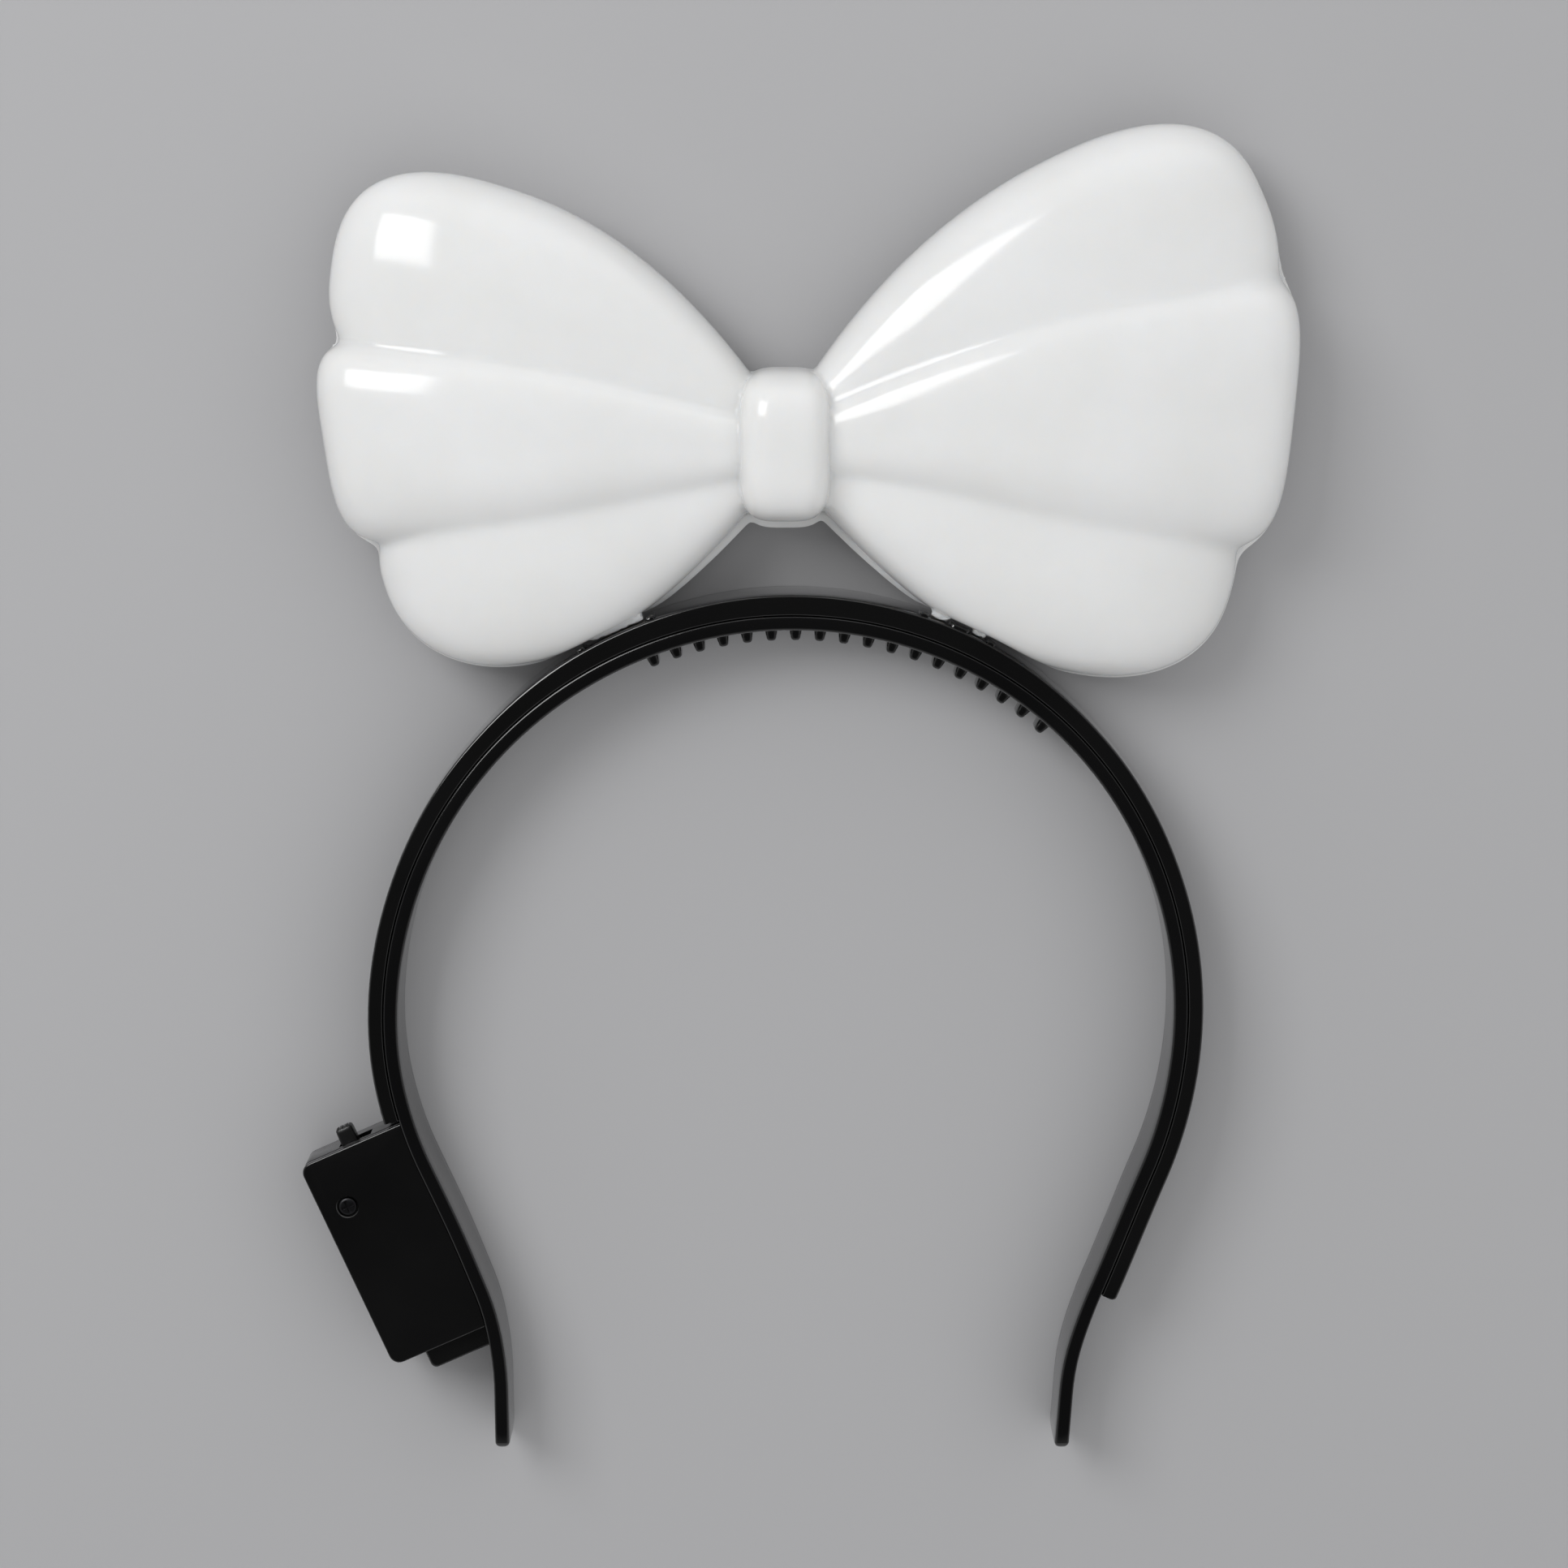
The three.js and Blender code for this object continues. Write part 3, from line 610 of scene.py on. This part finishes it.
finish_in(battery_tray, case_black)
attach(battery_tray, "bow_headband")
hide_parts("battery_case")

# Battery lid.
# A flat cover with eased edges, moulded in the case's black plastic, that closes the front of the
# case. One small screw in a round recess near its outer upper corner holds it.
LID_BACK = CASE_FRONT - LID_THICK
LID_EASE = 0.25
RECESS_RADIUS = 1.7
RECESS_RIM = 2.0
RECESS_DEEP = 0.8
RIM_EASE = 0.15
battery_cover = case_plate(
    "battery_cover", x=(CASE_FAR, CASE_NEAR), y=(CASE_BOTTOM, CASE_TOP), z=(LID_BACK, CASE_FRONT),
    corner=CASE_CORNER, ease=LID_EASE,
)
recess = screw_turning("recess", [
    (RECESS_RADIUS, CASE_FRONT - RECESS_DEEP),
    (RECESS_RADIUS, CASE_FRONT - RIM_EASE),
    (RECESS_RIM, CASE_FRONT + RIM_EASE),
])
join_or_cut(battery_cover, recess, "DIFFERENCE")
shank_hole = screw_turning("shank_hole", [
    (BORE_RADIUS, LID_BACK - CUT_PAST),
    (BORE_RADIUS, CASE_FRONT),
])
join_or_cut(battery_cover, shank_hole, "DIFFERENCE")
join_or_cut(battery_cover, leg_room(), "DIFFERENCE")
finish_in(battery_cover, case_black)
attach(battery_cover, "bow_headband")
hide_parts("battery_lid")

# Lid screw.
# A small cross-head screw of dark plated steel. Its head is sunk in the lid's recess, and its shank
# is turned into the post in the tray.
SHANK_RADIUS = 0.8
SHANK_END = CASE_BACK + 3.1
SCREW_HEAD_RADIUS = 1.4
SCREW_HEAD_UNDER = CASE_FRONT - 0.5
SCREW_HEAD_TOP = CASE_FRONT - 0.05
CROSS_LONG = 1.0
CROSS_WIDE = 0.22
CROSS_DEEP = 0.3
FINE_CORNER = 0.05
FINE_EASE = 0.02
head_levels = [
    {"inset": 0.0, "under_top": 0.18},
    {"inset": 0.1, "under_top": 0.06},
    {"inset": 0.3, "under_top": 0.0},
]
screw_profile = [
    (SHANK_RADIUS, SHANK_END),
    (SHANK_RADIUS, SCREW_HEAD_UNDER),
    (SCREW_HEAD_RADIUS, SCREW_HEAD_UNDER),
]
for level in head_levels:
    screw_profile.append((SCREW_HEAD_RADIUS - level["inset"], SCREW_HEAD_TOP - level["under_top"]))
screw = screw_turning("cross_head_screw", screw_profile)
for half_x, half_y in ((CROSS_LONG, CROSS_WIDE), (CROSS_WIDE, CROSS_LONG)):
    slot = case_plate(
        "slot", x=(SCREW_X - half_x, SCREW_X + half_x), y=(SCREW_Y - half_y, SCREW_Y + half_y),
        z=(SCREW_HEAD_TOP - CROSS_DEEP, SCREW_HEAD_TOP + CUT_PAST), corner=FINE_CORNER, ease=FINE_EASE,
    )
    join_or_cut(screw, slot, "DIFFERENCE")
screw_steel = bpy.data.materials.new("screw_steel")
screw_steel.use_nodes = True
screw_nodes = screw_steel.node_tree.nodes
screw_links = screw_steel.node_tree.links
screw_surface = screw_nodes["Principled BSDF"]
screw_surface.inputs["Metallic"].default_value = 1.0
screw_wear = screw_nodes.new("ShaderNodeTexNoise")
screw_wear.inputs["Scale"].default_value = 2500
screw_tint = screw_nodes.new("ShaderNodeValToRGB")
screw_tint.color_ramp.elements[0].color = (0.03, 0.03, 0.032, 1)
screw_tint.color_ramp.elements[1].color = (0.07, 0.07, 0.075, 1)
screw_links.new(screw_wear.outputs["Fac"], screw_tint.inputs["Fac"])
screw_links.new(screw_tint.outputs["Color"], screw_surface.inputs["Base Color"])
screw_gloss = screw_nodes.new("ShaderNodeMapRange")
screw_gloss.inputs["To Min"].default_value = 0.25
screw_gloss.inputs["To Max"].default_value = 0.5
screw_links.new(screw_wear.outputs["Fac"], screw_gloss.inputs["Value"])
screw_links.new(screw_gloss.outputs["Result"], screw_surface.inputs["Roughness"])
finish_in(screw, screw_steel)
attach(screw, "bow_headband")
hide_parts("lid_screw")

# Switch knob.
# A small black plastic stem with a ribbed end, held in the slot by a flange inside the case.
# It slides along the slot toward the band, to turn the lamps on.
KNOB_X = -8.8
KNOB_Z = 2.2
RIB_STEP = 0.8
GROOVE_HALF = 0.16
GROOVE_HALF_LONG = 3.0
GROOVE_FLOOR = CASE_TOP + 2.45
knob_levels = [
    {"over_case": -2.8, "half_x": 2.7, "half_z": 2.0},
    {"over_case": -1.82, "half_x": 2.7, "half_z": 2.0},
    {"over_case": -1.8, "half_x": 1.5, "half_z": 1.4},
    {"over_case": 1.9, "half_x": 1.42, "half_z": 1.34},
    {"over_case": 2.4, "half_x": 1.36, "half_z": 1.28},
    {"over_case": 2.62, "half_x": 1.2, "half_z": 1.12},
    {"over_case": 2.7, "half_x": 0.95, "half_z": 0.9},
]
knob_rings = []
for level in knob_levels:
    y = CASE_TOP + level["over_case"]
    ring = []
    for x, z in oblong(level["half_x"], level["half_z"], power_a=0.35, power_b=0.35, count=28):
        ring.append(tuple(case_turn @ Vector((KNOB_X + x, y, KNOB_Z + z))))
    knob_rings.append(ring)
knob = new_piece("knob", *ring_mesh(knob_rings))
for groove_x in (KNOB_X - RIB_STEP, KNOB_X, KNOB_X + RIB_STEP):
    groove = case_plate(
        "groove", x=(groove_x - GROOVE_HALF, groove_x + GROOVE_HALF),
        y=(GROOVE_FLOOR, GROOVE_FLOOR + CUT_PAST),
        z=(KNOB_Z - GROOVE_HALF_LONG, KNOB_Z + GROOVE_HALF_LONG),
        corner=FINE_CORNER, ease=FINE_EASE,
    )
    join_or_cut(knob, groove, "DIFFERENCE")
knob_black = moulded_plastic(
    "knob_black", dark=(0.002, 0.002, 0.0022), light=(0.004, 0.004, 0.0042),
    keen=0.32, dull=0.45, grain=1600, grain_depth=0.05, polish=0.2,
)
finish_in(knob, knob_black)
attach(knob, "switch")
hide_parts("switch_knob")

# Front shell of the bow.
# Glossy opal polystyrene, moulded hollow: three puffed pleats on each lobe run out from a barrel
# knot, the middle pleat in front, with soft creases between. Its feet sit between the clip tabs.
SEAM_Z = 2.0
SHELL_WALL = 1.5
SHELL_CREASE_DEGREES = 50
SKIN_STEP = 0.62
FIRST_PULLS = 4
EVENING_ROUNDS = 4
EVENING_SHARE = 0.6
EVENING_PULLS = 2
SEAM_WELD = 0.06
BACK_SHARE = 0.5
BOW_X = (-82, 85)
BOW_Y = (50, 146)
FRONT_Z = (0.6, 20)
ROOT_SHARE = 0.03
ROOT_DEPTH = 0.5
DEPTH_RISE = 0.8
KNOT_Y = 90.2
KNOT_RISE = 0.7
KNOT_HALF_WIDE = 7.3
KNOT_HALF_TALL = 11.9
KNOT_FRONT = 15.5
KNOT_SECTION = 3.8
PLEAT_FILLET = 0.4
KNOT_FILLET = 0.25
SEAT_FILLET = 0.35
SEAT_LEAN = math.radians(24)
SEAT_CLEARANCE = 0.9
SEAT_X = 1.5
SEAT_RADIUS = (cover_top(-SEAT_LEAN) + cover_top(SEAT_LEAN)) / 2 + SEAT_CLEARANCE

# A pleat starts at its root, that far above the knot's middle, and runs out to one side at a tilt.
# Its skew makes its reach longer toward its upper edge. It is fullest at a share of its reach, where
# it spans above and below its own line, and by the knot it spans root_above and root_below. The
# rises are powers that say how soon it widens between. Its crown is its height over the seam, which
# droops past its crest. Shoulder, belly and end_power are powers too: the higher they are, the
# squarer its section and its end. The lip is what the back shell adds to root_below.
upper_pleat = {
    "root": 3, "root_above": 0, "root_below": 0, "lip": 0, "rise_above": 0.8, "rise_below": 0.8,
    "crown": 12.5, "crest": 0.5, "droop": 0.1, "shoulder": 2.6, "belly": 2.6,
}
middle_pleat = {"lip": 0, "crown": 16.5, "crest": 0.45, "droop": 0.3, "belly": 2.7}
lower_pleat = {**upper_pleat, "root": -3, "tilt": -16, "lip": 1.5, "rise_below": 0.98, "skew": 0}
pleats = [
    {**upper_pleat, "side": -1, "tilt": 19, "reach": 75, "fullest": 0.63, "above": 21.4, "below": 16,
     "rise_above": 0.88, "end_power": 2.6, "skew": 0.2},
    {**middle_pleat, "side": -1, "root": 0.5, "tilt": 0, "reach": 72, "fullest": 0.82,
     "above": 16.4, "below": 15.4, "root_above": 3.6, "root_below": 4.6,
     "rise_above": 1.05, "rise_below": 1.15, "shoulder": 4, "end_power": 4.3, "skew": 0.14},
    {**lower_pleat, "side": -1, "reach": 66, "fullest": 0.66, "above": 15, "below": 18.8,
     "end_power": 2.2},
    {**upper_pleat, "side": 1, "tilt": 27, "reach": 83, "fullest": 0.64, "above": 18.7, "below": 24,
     "end_power": 2.5, "skew": 0.03},
    {**middle_pleat, "side": 1, "root": 1.5, "tilt": 2, "reach": 79.5, "fullest": 0.8,
     "above": 23.2, "below": 19.9, "root_above": 1.6, "root_below": 6.4,
     "rise_above": 0.88, "rise_below": 1.9, "shoulder": 3.6, "end_power": 4.4, "skew": 0.125},
    {**lower_pleat, "side": 1, "reach": 73.2, "fullest": 0.65, "above": 18.5, "below": 18.8,
     "end_power": 2.3},
]


def pleat_depth(points, pleat, lip):
    """About how deep points lie inside a pleat, in millimetres, below zero outside it."""
    tilt = math.radians(pleat["tilt"])
    x = pleat["side"] * points[:, 0]
    y = points[:, 1] - KNOT_Y - pleat["root"]
    z = points[:, 2] - SEAM_Z
    along = x * math.cos(tilt) + y * math.sin(tilt)
    across = y * math.cos(tilt) - x * math.sin(tilt)
    share = along / (pleat["reach"] + pleat["skew"] * across)
    swell = np.sin(np.pi / 2 * np.clip(share / pleat["fullest"], ROOT_SHARE, 1))
    upper = across > 0
    half = np.where(upper, pleat["above"], pleat["below"])
    rise = np.where(upper, pleat["rise_above"], pleat["rise_below"])
    root = np.where(upper, pleat["root_above"], pleat["root_below"] + pleat["lip"] * lip)
    wide = root + (half - root) * swell ** rise
    crown = np.where(z > 0, pleat["crown"], pleat["crown"] * BACK_SHARE)
    over_crest = np.clip((share - pleat["crest"]) / (1 - pleat["crest"]), 0, 1)
    risen = ROOT_DEPTH + (1 - ROOT_DEPTH) * swell ** DEPTH_RISE
    deep = crown * risen * (1 - pleat["droop"] * over_crest ** 2)
    section = np.where(upper, pleat["shoulder"], pleat["belly"])
    size = ((np.abs(across) / wide) ** section + (np.abs(z) / deep) ** section) ** (1 / section)
    past = np.maximum(0, (share - pleat["fullest"]) / (1 - pleat["fullest"]))
    end_power = pleat["end_power"]
    size = (size ** end_power + past ** end_power) ** (1 / end_power)
    behind = np.maximum(0, -along)
    return deep * (1 - size) - behind


def knot_depth(points, lip):
    """Depth inside the barrel of the knot, whose lower end is longer where it has a lip."""
    y = points[:, 1] - KNOT_Y - KNOT_RISE
    z = points[:, 2] - SEAM_Z
    half = np.where(y > 0, KNOT_HALF_TALL, KNOT_HALF_TALL + lip)
    deep = np.where(z > 0, KNOT_FRONT, KNOT_FRONT * BACK_SHARE)
    shares = np.stack([np.abs(points[:, 0]) / KNOT_HALF_WIDE, np.abs(y) / half, np.abs(z) / deep])
    return KNOT_HALF_WIDE * (1 - (shares ** KNOT_SECTION).sum(0) ** (1 / KNOT_SECTION))


def soft_join(depths, soft):
    """Joins forms with a small fillet where they meet."""
    highest = np.max(depths, axis=0)
    return highest + soft * np.log(sum(np.exp((depth - highest) / soft) for depth in depths))


def bow_depth(points, lip):
    """Depth inside the whole bow, its pleats and knot running softly into each other."""
    bow = soft_join([pleat_depth(points, pleat, lip) for pleat in pleats], PLEAT_FILLET)
    return soft_join([bow, knot_depth(points, lip)], KNOT_FILLET)


def clear_of_band(points, depth):
    """Depth that is left once a round seat is cut away, which keeps the bow clear of the band."""
    over_seat = np.hypot(points[:, 0] - SEAT_X, points[:, 1]) - SEAT_RADIUS
    return -soft_join([-depth, -over_seat], SEAT_FILLET)


# The feet are small blocks under the front shell, each between two angles from the top of the band.
FOOT_GAP = 0.3
FOOT_HALF_TALL = 1.6
FOOT_MIDDLE_Z = 4.2
FOOT_HALF_DEEP = 1.8
FOOT_EDGE = 0.3
foot_rows = [
    {"from": -27, "to": -19.3},
    {"from": 19.8, "to": 22.3},
    {"from": 25.65, "to": 27.6},
]


def foot_depth(points, row):
    """Depth inside a foot: a small block with round edges that stands over the cover."""
    lean = math.radians((row["from"] + row["to"]) / 2)
    low = cover_top(lean) + FOOT_GAP
    half_across = math.sin(math.radians(row["to"] - row["from"]) / 2) * low
    out = points[:, 0] * math.sin(lean) + points[:, 1] * math.cos(lean) - (low + FOOT_HALF_TALL)
    across = points[:, 0] * math.cos(lean) - points[:, 1] * math.sin(lean)
    gaps = FOOT_EDGE + np.stack([
        np.abs(across) - half_across,
        np.abs(out) - FOOT_HALF_TALL,
        np.abs(points[:, 2] - FOOT_MIDDLE_Z) - FOOT_HALF_DEEP,
    ])
    return FOOT_EDGE - np.linalg.norm(np.maximum(gaps, 0), axis=0) - np.minimum(gaps.max(0), 0)


def front_depth(points):
    """Depth inside the front of the bow with its feet."""
    feet = [foot_depth(points, row) for row in foot_rows]
    return np.max([clear_of_band(points, bow_depth(points, 0)), *feet], axis=0)


def pull_to_surface(points, depth, rounds, reach):
    """Moves points onto the surface where the depth is zero."""
    small = 0.02
    least_steep = 0.02
    for _ in range(rounds):
        value = depth(points)
        slope = np.empty_like(points)
        for axis in range(3):
            step = np.zeros(3)
            step[axis] = small
            slope[:, axis] = (depth(points + step) - depth(points - step)) / (2 * small)
        steep = np.maximum((slope ** 2).sum(1), least_steep)
        move = -(value / steep)[:, None] * slope
        length = np.maximum(np.linalg.norm(move, axis=1), 1e-9)
        points = points + move * np.minimum(1, reach / length)[:, None]
    return points


def even_out(points, faces, share):
    """Moves each point a share of the way to the middle of its neighbours."""
    total = np.zeros_like(points)
    count = np.zeros(len(points))
    for i in range(4):
        for j in ((i + 1) % 4, (i + 3) % 4):
            np.add.at(total, faces[:, i], points[faces[:, j]])
            np.add.at(count, faces[:, i], 1)
    return (1 - share) * points + share * total / np.maximum(count, 1)[:, None]


def skin_over(depth, low, high, step):
    """Points and four-sided faces of the surface where the depth is zero."""
    low = np.array(low)
    counts = np.ceil((np.array(high) - low) / step).astype(int) + 1
    axes = [low[i] + step * np.arange(counts[i]) for i in range(3)]
    layers = []
    for z in axes[2]:
        flat = np.stack(np.meshgrid(axes[0], axes[1], [z], indexing="ij"), -1).reshape(-1, 3)
        layers.append((depth(flat) > 0).reshape(counts[0], counts[1]))
    inside = np.stack(layers, -1)
    corners = sum(
        inside[i:counts[0] - 1 + i, j:counts[1] - 1 + j, k:counts[2] - 1 + k].astype(int)
        for i in (0, 1) for j in (0, 1) for k in (0, 1)
    )
    mixed = (corners > 0) & (corners < 8)
    number = np.full(mixed.shape, -1)
    number[mixed] = np.arange(mixed.sum())
    points = low + step * (np.argwhere(mixed) + 0.5)
    faces = []
    for axis in range(3):
        b = (axis + 1) % 3
        c = (axis + 2) % 3
        near = inside.take(range(counts[axis] - 1), axis)
        far = inside.take(range(1, counts[axis]), axis)
        edges = np.argwhere(near != far)
        fits_b = (edges[:, b] > 0) & (edges[:, b] < counts[b] - 1)
        fits_c = (edges[:, c] > 0) & (edges[:, c] < counts[c] - 1)
        edges = edges[fits_b & fits_c]
        ring = []
        for back_b, back_c in ((1, 1), (0, 1), (0, 0), (1, 0)):
            cell = edges.copy()
            cell[:, b] -= back_b
            cell[:, c] -= back_c
            ring.append(number[cell[:, 0], cell[:, 1], cell[:, 2]])
        quads = np.stack(ring, -1)
        turned = ~near[edges[:, 0], edges[:, 1], edges[:, 2]]
        quads[turned] = quads[turned][:, ::-1]
        faces.append(quads)
    faces = np.concatenate(faces)
    points = pull_to_surface(points, depth, FIRST_PULLS, step)
    for _ in range(EVENING_ROUNDS):
        points = even_out(points, faces, EVENING_SHARE)
        points = pull_to_surface(points, depth, EVENING_PULLS, step)
    return points, faces


def half_shell(name, depth, z, seam, keep):
    """One moulded half of the bow: the skin between two values of z, kept above its seam where keep
    is 1 or below it where keep is -1, and thickened inward."""
    low, high = zip(BOW_X, BOW_Y, z)
    points, faces = skin_over(depth, low, high, SKIN_STEP)
    shell = new_piece(name, [tuple(p) for p in points], faces.tolist())
    shape = bmesh.new()
    shape.from_mesh(shell.data)
    everything = shape.verts[:] + shape.edges[:] + shape.faces[:]
    seam_point = arch_middle + Vector((0, 0, seam)) * MM
    bmesh.ops.bisect_plane(shape, geom=everything, plane_co=seam_point, plane_no=(0, 0, keep),
                           clear_inner=True, dist=1e-6)
    bmesh.ops.remove_doubles(shape, verts=shape.verts, dist=SEAM_WELD * MM)
    shape.to_mesh(shell.data)
    shape.free()
    wall = shell.modifiers.new("wall", "SOLIDIFY")
    wall.thickness = SHELL_WALL * MM
    wall.offset = -1
    wall.use_rim = True
    settle_modifiers(shell, SHELL_CREASE_DEGREES)
    return shell


bow_front = half_shell("bow_front", front_depth, z=FRONT_Z, seam=SEAM_Z, keep=1)
opal = moulded_plastic(
    "opal_plastic", dark=(0.83, 0.825, 0.81), light=(0.87, 0.865, 0.855),
    keen=0.10, dull=0.16, grain=500, grain_depth=0.02, polish=0,
)
opal_surface = opal.node_tree.nodes["Principled BSDF"]
opal_surface.inputs["Subsurface Weight"].default_value = 0.7
opal_surface.inputs["Subsurface Radius"].default_value = (1.0, 0.9, 0.8)
opal_surface.inputs["Subsurface Scale"].default_value = 0.003
finish_in(bow_front, opal)
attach(bow_front, "bow_headband")
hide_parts("bow_front_shell")

# Back shell of the bow.
# The same opal plastic, shallower, welded to the front along a level seam. It sits a little low and
# is fuller by the knot, so its edge shows as a lip under the front shell.
SEAM_GAP = 0.3
BACK_Z = (-9, 3)
BACK_SLIP = np.array([0.1, -0.5, 0.0])


def back_depth(points):
    """Depth inside the back of the bow with its lip."""
    return clear_of_band(points, bow_depth(points - BACK_SLIP, 1))


bow_back = half_shell("bow_back", back_depth, z=BACK_Z, seam=SEAM_Z - SEAM_GAP, keep=-1)
finish_in(bow_back, opal)
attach(bow_back, "bow_headband")
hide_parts("bow_back_shell")

# Floor and lights.
# A plain pale floor under soft studio lamps: one to the upper left for the long highlights on the
# pleats, a broad one overhead that fills the bow but isn't mirrored in the black plastic, and a weak
# one beyond the bow for the top of the arch. The room is pale at the sides and dark overhead.
FLOOR_HALF = 3.0
floor_corners = [(-FLOOR_HALF, -FLOOR_HALF, 0), (FLOOR_HALF, -FLOOR_HALF, 0),
                 (FLOOR_HALF, FLOOR_HALF, 0), (-FLOOR_HALF, FLOOR_HALF, 0)]
floor_mesh = bpy.data.meshes.new("floor")
floor_mesh.from_pydata(floor_corners, [], [(0, 1, 2, 3)])
floor = bpy.data.objects.new("floor", floor_mesh)
bpy.context.scene.collection.objects.link(floor)
floor_grey = bpy.data.materials.new("floor_grey")
floor_grey.use_nodes = True
floor_surface = floor_grey.node_tree.nodes["Principled BSDF"]
floor_surface.inputs["Base Color"].default_value = (0.42, 0.42, 0.43, 1)
floor_surface.inputs["Roughness"].default_value = 0.8
floor_mesh.materials.append(floor_grey)

# Each lamp's place is in metres from the middle of the bow, which it faces.
lamp_rows = [
    {"name": "upper_left", "place": (-0.55, 0.45, 0.75), "wide": 0.55, "tall": 0.5,
     "watts": 4.8, "mirrored": True},
    {"name": "overhead", "place": (0.35, -0.12, 1.25), "wide": 2.5, "tall": 2.5,
     "watts": 16.2, "mirrored": False},
    {"name": "beyond", "place": (0.1, 1.1, 0.6), "wide": 1.8, "tall": 0.8,
     "watts": 2.0, "mirrored": True},
]
bow_middle = arch_middle + Vector((0, KNOT_Y, SEAM_Z)) * MM
for row in lamp_rows:
    lamp_data = bpy.data.lights.new(row["name"], "AREA")
    lamp_data.shape = "RECTANGLE"
    lamp_data.size = row["wide"]
    lamp_data.size_y = row["tall"]
    lamp_data.energy = row["watts"]
    lamp = bpy.data.objects.new(row["name"], lamp_data)
    back = Vector(row["place"]).normalized()
    sideways = Vector((0, 1, 0)).cross(back).normalized()
    facing = Matrix((sideways, back.cross(sideways), back)).transposed()
    lamp.matrix_world = Matrix.Translation(bow_middle + Vector(row["place"])) @ facing.to_4x4()
    lamp.visible_glossy = row["mirrored"]
    bpy.context.scene.collection.objects.link(lamp)
room = bpy.data.worlds.new("studio")
room.use_nodes = True
room_nodes = room.node_tree.nodes
room_links = room.node_tree.links
room_place = room_nodes.new("ShaderNodeTexCoord")
room_parts = room_nodes.new("ShaderNodeSeparateXYZ")
room_links.new(room_place.outputs["Generated"], room_parts.inputs["Vector"])
room_fall = room_nodes.new("ShaderNodeMapRange")
room_fall.inputs["From Min"].default_value = 0.25
room_fall.inputs["From Max"].default_value = 0.85
room_fall.inputs["To Min"].default_value = 0.55
room_fall.inputs["To Max"].default_value = 0.05
room_links.new(room_parts.outputs["Z"], room_fall.inputs["Value"])
room_links.new(room_fall.outputs["Result"], room_nodes["Background"].inputs["Strength"])
room_nodes["Background"].inputs["Color"].default_value = (1, 1, 1, 1)
bpy.context.scene.world = room
bpy.context.scene.view_settings.view_transform = "Standard"
